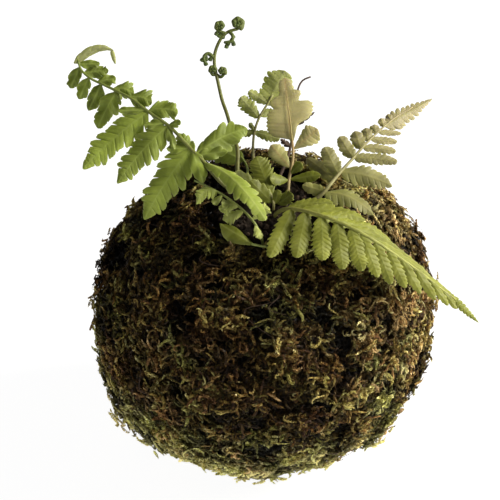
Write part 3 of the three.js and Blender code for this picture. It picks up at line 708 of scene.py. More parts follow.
ROUND_LOBES = dict(
    DEEP_LOBES, cut=0.36, slant=0.68, blunt=2.9, late=1.08, teeth=3, tooth=0.05, rows=14, puff=0.13,
    uneven=0.16, mend=0.65,
)
SMALL_LOBES = dict(DEEP_LOBES, cut=0.24, taper=0.5, broaden=1.05, slant=0.7, puff=0.08, wave=0.28)
SOFT_LOBES = dict(DEEP_LOBES, taper=0.5, puff=0.05, furrow=0.02)
TIP_STRIP = dict(facing=(0, -0.3, 1), peak=0.24, taper=0.6, wave=0.05, offset=0.5, furrow=0.02)
TIP_OUT = dict(TIP_STRIP, rise=2.4, cut=0.12)
TIP_DOWN = dict(TIP_STRIP, cut=0.1)
# These ages fall along the stem, so the far leaflets are darker: painted shade on the frond's shaded side.
left_leaves = leaflet_parts(LEFT_STIPE, LEFT_LEAFLETS[:3], ROUND_LOBES, 1.5, 11, (1.3, 0.5))
left_leaves += leaflet_parts(LEFT_STIPE, LEFT_LEAFLETS[3:], SMALL_LOBES, 1.2, 13, (0.6, -0.4))
left_tip = [
    fern_blade((-66.8, 87.2, 26), (-52.8, 91.6, 27), 1.7, 4, TIP_OUT, 0.7, (0.6, 1)),
    fern_blade((-53.6, 91.8, 26.8), (-52.2, 86.8, 27.2), 0.8, 3, TIP_DOWN, 0.6, (0.7, 0.7)),
]
soft_leaflet = leaflet_parts(LEFT_STIPE, SOFT_LEAFLET, SOFT_LOBES, 1.8, 12, (-0.4, 0.2))
frond("left_frond", LEFT_STIPE, (0.75, 0.38), 70, "green stem", left_leaves, "frond green")
piece("left_frond_tip", left_tip, LEAF["young leaf"])
piece("left_frond_soft_leaflet", soft_leaflet, LEAF["bright leaf"])

# %% [markdown]
# ## The front frond
# It arches out over the front and right side of the ball. Its oblong leaflets stand close
# like a comb, the largest with ten fine forward teeth on each side, and grow paler
# towards its long tip.

# %% The front frond
FRONT_STIPE = [
    on_soil(3.8, 34.5), (7, 36.2, 48), (12.2, 36, 52.5), (19.2, 34.2, 56), (26.2, 31.6, 58),
    (33.2, 28.2, 58.5), (40.1, 24, 57), (47.1, 19.2, 54), (54.1, 14.2, 50), (61.1, 8.7, 46),
    (66.6, 4.7, 43),
]
FRONT_LOWER = [
    (9.8, 35.8, (1.6, 19.4, 60.6), 3, 4),
    (14.4, 35.2, (11, 19.3, 61.5), 3.2, 4),
    (19.8, 33.8, (20.2, 18.4, 62.5), 3.3, 4),
    (25, 31.8, (27.3, 15.2, 62.5), 3.1, 4),
    (29.6, 29.4, (34, 14.6, 61.5), 2.8, 4),
    (33.4, 27.6, (39.6, 12.4, 60), 2.4, 3),
    (38, 24.8, (44.2, 10, 58), 2.2, 3),
    (42.6, 21.8, (49.2, 8.8, 55), 2, 3),
    (47.2, 18.6, (54.4, 6.8, 52), 1.8, 2),
    (52.4, 15, (59.6, 4.7, 49), 1.6, 2),
    (57.4, 11.4, (64, 2.6, 46), 1.3, 2),
    (61.4, 8.2, (67, 1.4, 44), 1.1, 1),
]
FRONT_UPPER = [
    (7.4, 36, (23.8, 38.4, 48), 2.2, 3, dict(rise=1)),
    (12.4, 36, (35, 32.4, 50), 2.6, 3, dict(rise=1.6)),
    (18.8, 34.6, (38.6, 28.2, 48.5), 2.6, 3, dict(rise=1.4)),
    (24.6, 32.6, (43.8, 25.4, 46), 2.5, 3, dict(rise=1.2)),
    (29.4, 30.4, (47.6, 21.6, 44), 2.4, 3, dict(rise=1)),
    (34.2, 28, (51.6, 18, 42.5), 2.3, 3, dict(rise=1)),
    (39.2, 25, (55.6, 14.4, 41.5), 2.1, 3, dict(rise=0.8)),
    (44, 21.8, (59, 11.6, 40.5), 1.9, 2, dict(rise=0.8)),
    (49, 18.2, (62, 9.4, 40), 1.4, 2),
    (54.6, 14, (65, 7, 40), 1.2, 1),
]
FINE_TEETH = dict(
    cut=0.24, taper=0.46, peak=0.4, slant=0.6, blunt=1.35, late=2.2, rows=6, crowding=0.15, puff=0.06,
    wave=0.12, vein=0.2, broaden=1.2, keel=0.06, mend=0.3, furrow=0.035, offset=0.5, uneven=0.08,
)
FRONT_AGES = (0.3, 0.65)
FRONT_TIP = dict(cut=0.34, blunt=1.8)
lower_form = dict(FINE_TEETH, facing=(0.1, 0.3, 1))
upper_form = dict(FINE_TEETH, facing=(0.3, 0.7, 1))
front_leaves = leaflet_parts(FRONT_STIPE, FRONT_LOWER, lower_form, 2.5, 21, FRONT_AGES)
front_leaves += leaflet_parts(FRONT_STIPE, FRONT_UPPER, upper_form, 2.8, 22, FRONT_AGES)
front_leaves.append(fern_blade((63.6, 7, 44.4), (74.6, -3.4, 39), 1.6, 9, FRONT_TIP, 0.6, (0.4, 0.5)))
frond("front_frond", FRONT_STIPE, (0.75, 0.32), 60, "leafy stem", front_leaves, "soft green")

# %% [markdown]
# ## The right frond
# It rises to the right and ends in a long fine tip that has dried to tan. Its leaflets
# are short and oblong with a scalloped edge. The two lowest on the right are longer,
# taper to a point and have rounded lobes.

# %% The right frond
RIGHT_STIPE = [
    on_soil(14, 37.5), (19.9, 41.4, 42), (22.7, 44.9, 41), (25.1, 47.8, 39), (31.1, 54.4, 34),
    (35.9, 59.8, 29), (42.2, 65.6, 23), (46.6, 69, 19.5), (51.5, 71.8, 16),
]
LOW_LOBES = dict(peak=0.34, taper=0.6, cut=0.36, slant=0.62, blunt=2.5, late=1.15, rows=9)
LOWEST = dict(LOW_LOBES, rise=2.4, facing=(0.3, 0.7, 1), factor=2.7)
LONG_TIP = dict(peak=0.24, power=0.8, cut=0.45, blunt=2.2, factor=1.7)
RIGHT_UPPER = [
    (25.5, 48.4, (20.8, 58, 36), 2.5, 4),
    (30.7, 54.2, (26, 61.6, 31.5), 2.1, 3),
    (33.4, 57.2, (31.4, 63.5, 28), 2.1, 2),
    (36, 60, (35.2, 64.6, 26), 1.7, 2),
    (38.6, 62.4, (38.2, 65.8, 24.5), 1.5, 1),
    (41.4, 65, (40.4, 68, 22), 1.2, 1),
    (43.9, 67.2, (42.8, 69.4, 20.5), 1.1, 1),
]
RIGHT_LOWER = [
    (26.2, 49.2, (44.4, 44.2, 38), 3.1, 5, dict(LOW_LOBES, rise=1.2, factor=1.6)),
    (31.1, 54.2, (46.2, 52.8, 33), 1.8, 4, dict(rise=0.4)),
    (34.2, 57.6, (45.7, 56.4, 29), 1.4, 3, dict(rise=0.3)),
    (37, 60.6, (46.1, 59.8, 25.5), 1.2, 3),
    (39.7, 63, (47.5, 62.7, 22.5), 0.95, 2),
    (42.4, 65.4, (48.3, 64.8, 20), 0.85, 1),
    (45, 67.6, (49.2, 67.2, 18), 1, 1),
    (41.6, 65.2, (58.4, 74.8, 12), 2.9, 6, LONG_TIP),
    (20.4, 42, (37.8, 34.4, 43), 3.2, 3, LOWEST),
    (24, 46.4, (14.5, 54, 24), 2.2, 3, dict(rise=0.5, peak=0.34)),
    (20.6, 42.6, (13, 44.6, 39.5), 1.9, 2, dict(taper=0.5)),
]
SCALLOPS = dict(
    cut=0.16, peak=0.42, power=0.32, slant=0.45, blunt=1.9, late=1.3, rows=6, crowding=0.1, puff=0.05,
    broaden=1.2, mend=0.2, furrow=0.025, offset=0.5, uneven=0.1, wave=0.14,
)
RIGHT_AGES = (-0.1, 0.95)
right_leaves = leaflet_parts(RIGHT_STIPE, RIGHT_UPPER, SCALLOPS, 1.8, 31, RIGHT_AGES)
right_leaves += leaflet_parts(RIGHT_STIPE, RIGHT_LOWER, dict(SCALLOPS, cut=0.2), 2.0, 32, RIGHT_AGES)
frond("right_frond", RIGHT_STIPE, (0.8, 0.2), 50, "tan stem", right_leaves, "pale leaf")

# %% [markdown]
# ## The seedling
# Its large pale leaf has rounded lobes of different sizes, so its outline is drawn from
# measured points. Round leaflets stand lower on its stem, and the lowest are green.

# %% The seedling
SEEDLING_STEM = [on_soil(8, 41.2), (8.4, 46.4, 35), (9.7, 53.4, 33), (9.8, 57, 31.5), (9.4, 60.6, 30)]
ROUND_LEAF = dict(
    cut=0.14, peak=0.6, power=0.6, slant=0.3, blunt=2.0, rows=6, crowding=0.1, puff=0.06, keel=0.06,
    furrow=0.03, offset=0.5,
)
BIG_LEFT = [
    (0, 0.5), (1.1, 0.9), (1.4, 4.4), (2.1, 6.8), (3.3, 7.9), (5.5, 8.1), (7.6, 7.8), (9.6, 7.4),
    (11, 6.5), (11.7, 5.0), (12.1, 5.2), (12.6, 6.1), (13.7, 6.4), (14.8, 5.7), (15.8, 4.3),
    (16.6, 2.8), (17.4, 2.5), (19.4, 2.6), (21.2, 2.4), (22.4, 1.8), (22.9, 0.5),
]
BIG_RIGHT = [
    (0, 0.5), (2.4, 1.5), (4.8, 2.3), (5.9, 3.2), (6.4, 5.0), (7.1, 6.9), (8.4, 8.1), (10.2, 8.7),
    (12, 8.6), (13, 7.8), (13.5, 5.8), (13.9, 4.0), (14.6, 4.1), (16.2, 5.0), (17.2, 4.9), (18, 3.8),
    (18.4, 2.6), (19.6, 2.5), (21.2, 2.3), (22.4, 1.8), (22.9, 0.5),
]
BIG_FORM = dict(
    edges=(BIG_RIGHT, BIG_LEFT), side_veins=((7.6, 10.4, 15.8), (3.4, 6.2, 13.2)), slant=0.16,
    keel=-0.05, puff=0.06, wave=0.06, vein=0.34, furrow=0.1,
)
SEEDLING_ROUND = [
    (9.8, 57, (18.4, 64.2, 31.5), 3.6, 4, dict(peak=0.66)),
    (8.8, 50.4, (2, 58.6, 32), 3.1, 4, dict(peak=0.62)),
]
SEEDLING_LOW = [
    (8.3, 46.2, (1.7, 47, 40.5), 2.3, 3),
    (8.4, 46.6, (19.4, 48.2, 38), 2.1, 4),
    (8.8, 48.4, (12.7, 52.4, 37), 1.9, 2),
    (8, 42.6, (5.2, 38.6, 41.5), 1.7, 2),
]
BIG_MIDRIB = [(9.4, 60.4, 30.5), (8.9, 66, 29.7), (8, 72.6, 28.3), (7.5, 77.6, 26.9)]
MIDRIB_RINGS = 30
seedling_leaves = leaflet_parts(SEEDLING_STEM, SEEDLING_ROUND, ROUND_LEAF, 1.6, 41, (0, 0.9))
seedling_leaves.append(fern_blade((9.4, 59.6, 30), (6.9, 82, 25.5), 8.4, 3, BIG_FORM, 0.5, (0.95, 1)))
midrib_path = seen(smooth_path(BIG_MIDRIB, MIDRIB_RINGS))
seedling_leaves.append(tube(midrib_path, np.linspace(0.34, 0.08, MIDRIB_RINGS), sides=8, vein=0.8))
low_leaves = leaflet_parts(SEEDLING_STEM, SEEDLING_LOW, ROUND_LEAF, 1.6, 43, (-0.2, 0.2))
frond(
    "seedling", SEEDLING_STEM, (0.65, 0.42), 40, "warm stem", seedling_leaves, "seedling leaf")
piece("seedling_low_leaves", low_leaves, LEAF["soft green"])

# %% [markdown]
# ## The young frond, the limp frond and the single leaves
# The smaller plants use the same blade with their own lobes. The limp frond is bright,
# partly as painted light where the soft leaflet's shadow falls, and leans back over the rim.

# %% The smaller plants
SLENDER = (0.6, 0.36)
YOUNG_STEM = [
    on_soil(-2.5, 45.5), (-4, 53.4, 25), (-3.9, 62, 22), (-2.2, 67.8, 20), (1, 73.2, 19), (2.6, 76, 18.5),
]
TOP_LEAFLET = dict(peak=0.42, cut=0.22, factor=1.4, slant=0.3, blunt=2.4)
YOUNG_LEAFLETS = [
    (-3.8, 63.2, (-8.6, 62.6, 22.5), 1.3, 2),
    (-3.8, 63.4, (-5.4, 66.4, 22), 0.8, 1),
    (-3.4, 63, (5.2, 60.8, 20.6), 1.6, 3),
    (-2.2, 68, (-8.6, 75.4, 19), 2.3, 3, dict(peak=0.55)),
    (-1.6, 68.6, (2.8, 71, 18), 1.2, 1),
    (1, 73.2, (-5.8, 77.4, 18), 1.6, 2),
    (0.4, 72.6, (6.9, 84.6, 15.5), 4.6, 4, TOP_LEAFLET),
]
LIMP_STEM = [
    on_soil(-1, 25.5), (-3.4, 31, 51), (-7, 35.2, 50), (-11, 38.6, 48), (-15.4, 41.6, 45.5),
    (-21.4, 44.8, 42.4), (-24.6, 46.2, 40.8),
]
LIMP_LEAFLETS = [
    (-7.4, 35.6, (-14.8, 32.6, 49.6), 2.6, 3),
    (-9.4, 37, (-15.2, 38.6, 51), 2.6, 3),
    (-11.4, 38.8, (-15.4, 35.4, 50.4), 2.4, 2),
    (-14.8, 41.2, (-18.2, 38, 49), 1.4, 1),
    (-16.6, 42.4, (-24, 38, 46.8), 2.8, 3, dict(peak=0.4, rise=2.6)),
    (-4.4, 32.8, (1.6, 36.6, 50.5), 2.4, 4, dict(rise=1.2)),
    (-3.4, 31, (-1.6, 25.8, 54), 1.6, 2),
]
OVAL_STEM = [on_soil(0.6, 23), (-1.4, 23.4, 52.6), (-4.6, 24, 53.2)]
BACK_STEM = [on_soil(-6, 46.4), (-6.4, 51.4, 25.5), (-8.4, 54.6, 24.5)]
MIDDLE_STEM = [on_soil(3, 37.6), (2.6, 40, 40.5), (1.6, 42.4, 40)]
LOW_LEAVES = [
    (on_soil(2.6, 38.4), (-5.2, 46.2, 42), 2.5, 4),
    (on_soil(4.4, 38), (9.6, 41.6, 43.5), 2.1, 4),
    (on_soil(3.4, 38), (4.6, 43, 42.5), 1.5, 3),
    (on_soil(-3.6, 45), (-10.8, 48.8, 36), 2.2, 3),
]
CRENATE = dict(SCALLOPS, cut=0.28, peak=0.5)
LIMP_LOBES = dict(DEEP_LOBES, peak=0.5, cut=0.36, taper=0.7, facing=(0.2, 0.7, 1))
SMOOTH_EDGE = dict(peak=0.5, power=0.8, cut=0.03, facing=(0.2, 0.5, 1), rows=14, keel=0.5)
BACK_LOBES = dict(CRENATE, cut=0.2)
MIDDLE_LOBES = dict(FINE_TEETH, peak=0.5, power=0.7)
young_leaves = leaflet_parts(YOUNG_STEM, YOUNG_LEAFLETS, CRENATE, 2, 51, (-0.6, 0.3))
# These ages fall from the base, so the leaflets near it, under the soft leaflet's shadow, are painted
# brighter: painted light.
limp_leaves = leaflet_parts(LIMP_STEM, LIMP_LEAFLETS, LIMP_LOBES, 2, 52, (1.2, -0.2))
oval = fern_blade((-3.8, 23.8, 52.8), (-15.8, 31.2, 52), 3, 2, SMOOTH_EDGE, 0.3, (-0.3, 0.25))
back = fern_blade((-7.4, 53.2, 24.8), (-18.6, 58.6, 22.5), 3.8, 6, BACK_LOBES, 0.3, (0, 0))
middle_leaves = [fern_blade((2.3, 41, 40.2), (-3, 54.6, 37.5), 3.6, 9, MIDDLE_LOBES, 0.3, (0, 0.4))]
for number, row in enumerate(LOW_LEAVES):
    middle_leaves.append(fern_blade(*row, FINE_TEETH, 0.1 + 0.1 * number, (0, 0.3)))
frond("young_frond", YOUNG_STEM, SLENDER, 40, "pale stem", young_leaves, "young leaf")
frond(
    "limp_frond", LIMP_STEM, (0.5, 0.3), 40, "bright stem", limp_leaves, "limp leaf painted bright", 0.3)
piece("oval_leaf_blade", [oval], LEAF["soft green"], ["oval_leaf"])
piece("oval_leaf_stem", [rooted_part(OVAL_STEM, (0.5, 0.4), 20, 0.3)], STEM["bright stem"])
piece("back_leaf_blade", [back], LEAF["frond green"], ["back_leaf"])
piece("back_leaf_stem", [rooted_part(BACK_STEM, SLENDER, 20)], STEM["green stem"])
piece("middle_leaf_blade", middle_leaves, LEAF["soft green"], ["middle_leaf"])
piece("middle_leaf_stem", [rooted_part(MIDDLE_STEM, SLENDER, 20)], STEM["pale stem"])

# %% [markdown]
# ## The unrolling frond and the dry stalk
# A young frond unrolls from coils. Each is a fat rod that tightens in a spiral, with
# beads for its rolled leaflets. The dry stalk carries two withered scraps.

# %% The fiddlehead and the dry stalk
FIDDLE_STEM = [
    on_soil(-9.5, 44), (-9.6, 50.5, 30), (-9.6, 57.2, 28), (-11.2, 62.2, 25), (-13.4, 69.8, 21),
    (-15, 74.4, 18.5), (-16.4, 80.6, 17), (-17.6, 86.4, 16.4), (-17.4, 91, 16), (-15.2, 96, 16),
    (-12.9, 98.1, 16), (-9.4, 99.2, 16),
]
COILS = [
    ((-9.7, 101.1, 16), (-9.0, 99.5, 16), 1.2),
    ((-15.6, 100.2, 16.4), (-16.5, 99.3, 16.4), 1.0),
    ((-18, 85, 17), (-18.8, 84.3, 17), 0.85),
    ((-15, 84.4, 17), (-14.3, 83.6, 17), 0.9),
]
CURLS = [
    [(-13.6, 97.4, 16), (-15.4, 98.2, 16.2), (-16.9, 99, 16.4)],
    [(-12.4, 98.2, 16), (-11.2, 96.6, 16.8), (-11.6, 95, 17), (-14.2, 94.4, 17)],
    [(-17.6, 89, 16), (-19.8, 90.6, 16.6), (-21.4, 89.4, 17), (-20.9, 87.2, 17)],
    [(-17, 83.6, 16), (-18.2, 83.2, 16.6), (-19, 84.2, 17)],
    [(-16.8, 83, 16), (-15.4, 82.4, 16.6), (-14.2, 83.4, 17)],
]
DRY_STEM = [
    on_soil(4.6, 45.6), (8.4, 56, 22), (10.8, 70, 19.5), (11.6, 78.4, 19.5), (13.2, 81.2, 19.5),
    (15.9, 82.4, 19.5),
]
DRY_SCRAPS = [
    (8.9, 58, (5.4, 60.8, 23), 1.2, 2),
    (10, 65.6, (17.4, 70.2, 22), 1, 2),
]
COIL_TURNS = 1.3
COIL_STEPS = 60
COIL_BEADS = 7
BEAD_SWELLING = 0.1
COIL_SHRINKING = 0.8
COIL_TAPER = 0.35
CURL_RADIUS = 0.4
BEADS_ON_CURL = 5
BEAD_DROOP = np.array([0, -1.5, 0.3])
ROLLED = dict(cut=0.08, peak=0.55, power=0.4, thickness=0.7, rows=5, puff=0.3)
WITHERED = dict(cut=0.5, wave=0.4, keel=0.5, thickness=0.35)


def coil_part(centre, start, radius):
    """A spiral in the picture's plane: its reach shrinks evenly to a fifth over its turns,
    and its radius swells by a tenth at each bead."""
    centre = np.asarray(centre, float)
    share = np.linspace(0, 1, COIL_STEPS)
    apart = (start[1] - centre[1], start[0] - centre[0])
    way = -1 if centre[0] > start[0] else 1
    angle = math.atan2(*apart) + way * 2 * math.pi * COIL_TURNS * share
    distance = math.hypot(*apart) * (1 - COIL_SHRINKING * share)
    path = centre + np.stack([distance * np.cos(angle), distance * np.sin(angle), 0.5 * share], -1)
    bead = 1 + BEAD_SWELLING * np.sin(2 * math.pi * COIL_BEADS * share)
    return tube(seen(path), radius * bead * (1 - COIL_TAPER * share), STEM_SIDES, (0.6, 1))


def bead_leaves(path, seed):
    """Small rounded leaflets, still rolled, that stand off a curl to both sides."""
    rng = np.random.default_rng(seed)
    points = smooth_path(path, BEADS_ON_CURL + 2)[1:-1]
    heading = unit(np.gradient(points, axis=0))
    parts = []
    for number, (point, ahead) in enumerate(zip(points, heading)):
        off = unit(np.cross(ahead, (0, 0, 1))) * (1 if number % 2 else -1)
        tip = point + off * (CURL_RADIUS + rng.uniform(0.2, 0.6)) + ahead * 0.6 + BEAD_DROOP
        parts.append(fern_blade(point, tip, 0.8, 2, ROLLED, rng.uniform(0, 0.4), (0.9, 1)))
    return parts


fiddle = [coil_part(*coil) for coil in COILS]
fiddle += [stem_part(curl, (0.65, 0.5), 16, (0.6, 0.9)) for curl in CURLS]
for number, curl in enumerate(CURLS[:3]):
    fiddle += bead_leaves(curl, 60 + number)
dry = [rooted_part(DRY_STEM, (0.62, 0.3), 50)]
dry += leaflet_parts(DRY_STEM, DRY_SCRAPS, WITHERED, 1.5, 71)
fiddle_stem = rooted_part(FIDDLE_STEM, (0.75, 0.55), 90, 0.2)
piece("fiddlehead_stem", [fiddle_stem], STEM["olive stem"])
piece("fiddlehead_coils", fiddle, STEM["coil green"], ["fiddlehead"])
piece("dry_stalk_scraps", dry, STEM["dry brown"], ["dry_stalk"])

# %% [markdown]
# ## Moss finishes
# The moss is dry gold with rust brown and olive patches. Three ramps turn a shoot's tone
# into rust, gold or green, mixed by patch, and what lies deep is darkened as painted shade.
# The tint's red holds a shoot's tone, which also carries the patches' painted light and
# shade, green how high it stands in the moss, which sets the painted shade, and blue how
# green it is.

# %% Moss and soil finishes
MOSS_RUSTS = [
    (0.0, (0.022, 0.010, 0.004)), (0.3, (0.100, 0.045, 0.014)), (0.65, (0.270, 0.155, 0.050)),
    (1.0, (0.520, 0.370, 0.170)),
]
MOSS_GOLDS = [
    (0.0, (0.026, 0.014, 0.005)), (0.25, (0.11, 0.050, 0.010)), (0.5, (0.235, 0.155, 0.040)),
    (0.75, (0.37, 0.295, 0.090)), (1.0, (0.66, 0.58, 0.27)),
]
MOSS_GREENS = [
    (0.0, (0.022, 0.020, 0.005)), (0.4, (0.125, 0.117, 0.026)), (0.75, (0.30, 0.29, 0.075)),
    (1.0, (0.54, 0.53, 0.20)),
]
MAT_TONES = [(0.3, (0.012, 0.008, 0.004)), (0.5, (0.060, 0.038, 0.014)), (0.7, (0.190, 0.130, 0.048))]
SOIL_TONES = [(0.0, (0.008, 0.006, 0.004)), (0.6, (0.03, 0.02, 0.013)), (1.0, (0.085, 0.055, 0.034))]
moss_finish, tree, shader, (tone, shade_level, green, _) = start_finish("moss")
rust, gold, olive = (ramp_of(tree, tone, stops) for stops in (MOSS_RUSTS, MOSS_GOLDS, MOSS_GREENS))
colour = mix_colours(tree, ranged(tree, green, 0.0, 0.3, 1.0, 0.0), gold, rust)
colour = mix_colours(tree, ranged(tree, green, 0.3, 1.0, 0.0, 1.0), colour, olive)
# Painted shade: the colour is dimmed to near black deep in the moss and lifted up to 1.6 times at its
# surface.
painted_shade_curve = add_node(tree, "ShaderNodeMath", {0: ranged(tree, shade_level, 0.3, 0.95), 1: 1.7}, operation="POWER")
colour = dimmed(tree, colour, ranged(tree, painted_shade_curve.outputs[0], 0.0, 1.0, 0.015, 1.6))
colour = mottled(tree, colour, scale=700.0, least=0.7, most=1.3)
set_surface(tree, shader, colour, roughness=0.55, gloss=0.16)
roughen(tree, shader, coarse=1500.0, fine=4000.0, depth=0.0002, strength=0.4)

mat_finish, tree, shader, (shade_level, _, _, _) = start_finish("moss mat")
colour = ramp_of(tree, noise_of(tree, scale=700.0, detail=5.0), MAT_TONES)
# Painted shade: the mat is darker where it lies deep.
colour = dimmed(tree, colour, ranged(tree, shade_level, 0.1, 0.75, 0.15, 1.4))
set_surface(tree, shader, colour, roughness=0.95, gloss=0.04)
roughen(tree, shader, coarse=500.0, fine=1800.0, depth=0.0015, strength=1.0)

soil_finish, tree, shader, (tone, _, _, _) = start_finish("soil")
colour = mottled(tree, ramp_of(tree, tone, SOIL_TONES), scale=500.0, least=0.6, most=1.5)
set_surface(tree, shader, colour, roughness=0.9, gloss=0.2)
roughen(tree, shader, coarse=800.0, fine=2500.0, depth=0.0008, strength=1.0)
print("moss and soil finishes ready")

# %% [markdown]
# ## Tufts
# Every tuft of moss has its own place, height, tone, greenness and heading, and sinks to
# nothing at its edge, so hollows stay between tufts, which the finishes darken as painted
# shade. A tuft's tone also carries painted light and shade in broad patches.

# %% Tufts
TUFT_COUNT = 1300
TUFT_REACH = 4.8
LEAST_CROWN = 0.15
MOSS_DEPTH = 5.5


def scattered(count, low_polar, high_polar, rng):
    """Directions spread evenly over the globe between two polar angles: the cosine is uniform."""
    cosines = rng.uniform(math.cos(math.radians(high_polar)), math.cos(math.radians(low_polar)), count)
    polar = np.degrees(np.arccos(cosines))
    turn = rng.uniform(0, 360, count)
    return ball_direction(polar, turn), polar, turn


def patch_tone_and_light(direction):
    """Broad patches: waves of tone, with painted light and shade laid over them: brighter low down
    as painted bounce light, brighter to the right and most at the upper right as painted light
    from the window's side, and darker at the upper left and in the middle of the front as
    painted shade."""
    x, y, z = np.moveaxis(direction, -1, 0)
    waves = np.sin(5.1 * x + 2.2 * z + 0.6) * np.sin(4.3 * z - 3.1 * y + 1.9)
    low = np.maximum(-z - 0.2, 0)
    middle = np.exp(-(x ** 2 + (z - 0.15) ** 2) / 0.2) * (y < 0)
    slanted = np.where((x < 0) & (z > 0), 0.15, 0.6) * x * z
    return 0.31 + 0.13 * waves + 0.07 * x - 0.16 * z + slanted + 1.6 * low - 0.16 * middle


rng = np.random.default_rng(2024)
tuft_direction, _, _ = scattered(TUFT_COUNT, 22, 180, rng)
tuft_height = rng.beta(1.6, 1.3, TUFT_COUNT)
# Each tuft's tone takes the patches' painted light and shade, plus a random spread.
tuft_tone_and_light = patch_tone_and_light(tuft_direction) + rng.normal(0, 0.15, TUFT_COUNT)
rightness, tuft_z = tuft_direction[:, 0], tuft_direction[:, 2]
tuft_green = rng.normal(0.43, 0.27, TUFT_COUNT) + 0.25 * (tuft_z < -0.2)
upper_right = smoothstep(rightness, 0.3, 0.8) * (tuft_z > 0)
tuft_green = np.clip(tuft_green - 0.25 * upper_right, 0, 0.95)
tuft_heading = unit(rng.normal(0, 1, (TUFT_COUNT, 3)) + [0, 0, -0.4])


def tuft_at(direction):
    """The nearest tuft in each direction, the cosine to it, and the moss's height there:
    (0.15 + 0.85 tuft height) (1 - (distance / reach) ^ 2)."""
    near = direction @ tuft_direction.T
    tuft = np.argmax(near, axis=-1)
    closeness = np.max(near, axis=-1)
    apart = np.arccos(np.clip(closeness, -1, 1)) * BALL_RADIUS
    crown = np.clip(1 - (apart / TUFT_REACH) ** 2, 0, 1)
    return tuft, closeness, between((LEAST_CROWN, 1), tuft_height[tuft]) * crown


def shade_level_of(points, local_relief):
    """0 deep in the moss and 1 at its surface: how far out a point lies, less the local relief.
    The finishes darken by it as painted shade.
    """
    inset = (1 - far_out(points)) * BALL_RADIUS + local_relief
    return np.clip(1 - inset / MOSS_DEPTH, 0, 1)


print(TUFT_COUNT, "tufts")

# %% [markdown]
# ## The mat under the shoots
# Between the shoots one looks down on a dark felt of old moss, darkened further where it lies
# deep as painted shade. It is the CAD sheath's own form, drawn in a little, roughened and
# swollen under every tuft. It goes up over the lip, down the mouth's inner wall and closes
# inside, so it is one skin.

# %% The moss mat
MAT_AROUND = 190
MAT_OUTER_ROWS = 112
MAT_INNER_ROWS = 14
MAT_LIP = [(26, 0.3), (24.6, 1.0), (23.6, 1.8)]
MAT_INSET = 5.2
WALL_INSET = 7.0
MAT_SWELLING = 3.2
MAT_ROUGHNESS = 0.35
FOOT_HEIGHT = 0.4


def mat_part():
    """Rows of (polar, inset): up the outside, over the lip, down inside, and closed below. The
    outside is lifted by the clumps, by products of warped waves and by the tufts' swelling."""
    outer = [(polar, 0.0) for polar in np.linspace(180, 28, MAT_OUTER_ROWS)]
    inner = [(polar, WALL_INSET - MAT_INSET) for polar in np.linspace(23.0, 180, MAT_INNER_ROWS)]
    rows = np.array(outer + MAT_LIP + inner)
    polar, inset = rows[:, :1], rows[:, 1:]
    direction = ball_direction(polar, np.linspace(0, 360, MAT_AROUND, endpoint=False)[None, :])
    local_relief = relief(direction, np.broadcast_to(polar, direction.shape[:2]))
    x, y, z = np.moveaxis(direction, -1, 0)
    rough = np.sin(41 * x + 3 * np.sin(17 * y)) * np.sin(37 * z + 3 * np.sin(19 * x))
    rough = rough + np.sin(53 * y + 29 * z)
    outside = (inset == 0) & (polar < 179.9)
    swollen = MAT_SWELLING * tuft_at(direction)[2] * smoothstep(polar, 26, 32)
    lifted = np.where(outside, local_relief + MAT_ROUGHNESS * rough + swollen, 0.0)
    points = ball_point(direction, inset + MAT_INSET - lifted)
    points[..., 2] = np.maximum(points[..., 2], np.where(inset > 0, 2.5, FOOT_HEIGHT))
    tints = np.zeros((*points.shape[:2], 4))
    # Red holds how high the mat lies, which its finish turns into painted shade.
    tints[..., 0] = shade_level_of(points, local_relief)
    return points, grid_faces(len(rows), MAT_AROUND, closed=True), tints


piece("moss_mat", [mat_part()], mat_finish, ["moss_sheath"])

# %% [markdown]
# ## The moss shoots
# Each shoot is a curved axis with small forward leaves in three ranks, like scales. It
# leans out from the middle of its tuft. All shoots are worked out together as arrays.

# %% Shoots
LEAF_NODES = 7
PROUD_FREE = 0.2
PROUD_SOFT = 0.8
SHOOT_INSET = 4.2
TUFT_LIFT = 4.4
LOWEST_LEAF = 0.15
CURL = 1.7
LATE_CURL = 2.2
RISE = (0.1, 0.16)
RISE_GAIN = (-0.2, 0.3)
RANK_TURN = 1.3
LEAF_ROOT = 0.2
LEAF_LENGTH = 1.15
LEAF_LEAN = 0.42
LEAF_WIDTH = 0.55
CORNER_TONES = np.array([-0.05, 0.12, -0.05])
SHOOT_TONE_SPREAD = 0.17
SHOOT_GREEN_SPREAD = 0.12
LEAF_TONE_SPREAD = 0.16
TONE_GAIN = 0.12


def held_in(points, local_relief):
    """Draws in what stands out too far: past 0.2 mm proud of the local relief the rest is squeezed
    to 0.8 tanh(rest / 0.8)."""
    far = far_out(points)[..., None]
    rest = (far - 1) * BALL_RADIUS - local_relief - PROUD_FREE
    squeezed = np.where(rest > 0, PROUD_SOFT * np.tanh(np.maximum(rest, 0) / PROUD_SOFT), rest)
    return CENTRE + (points - CENTRE) * (1 + (squeezed - rest) / (BALL_RADIUS * far))


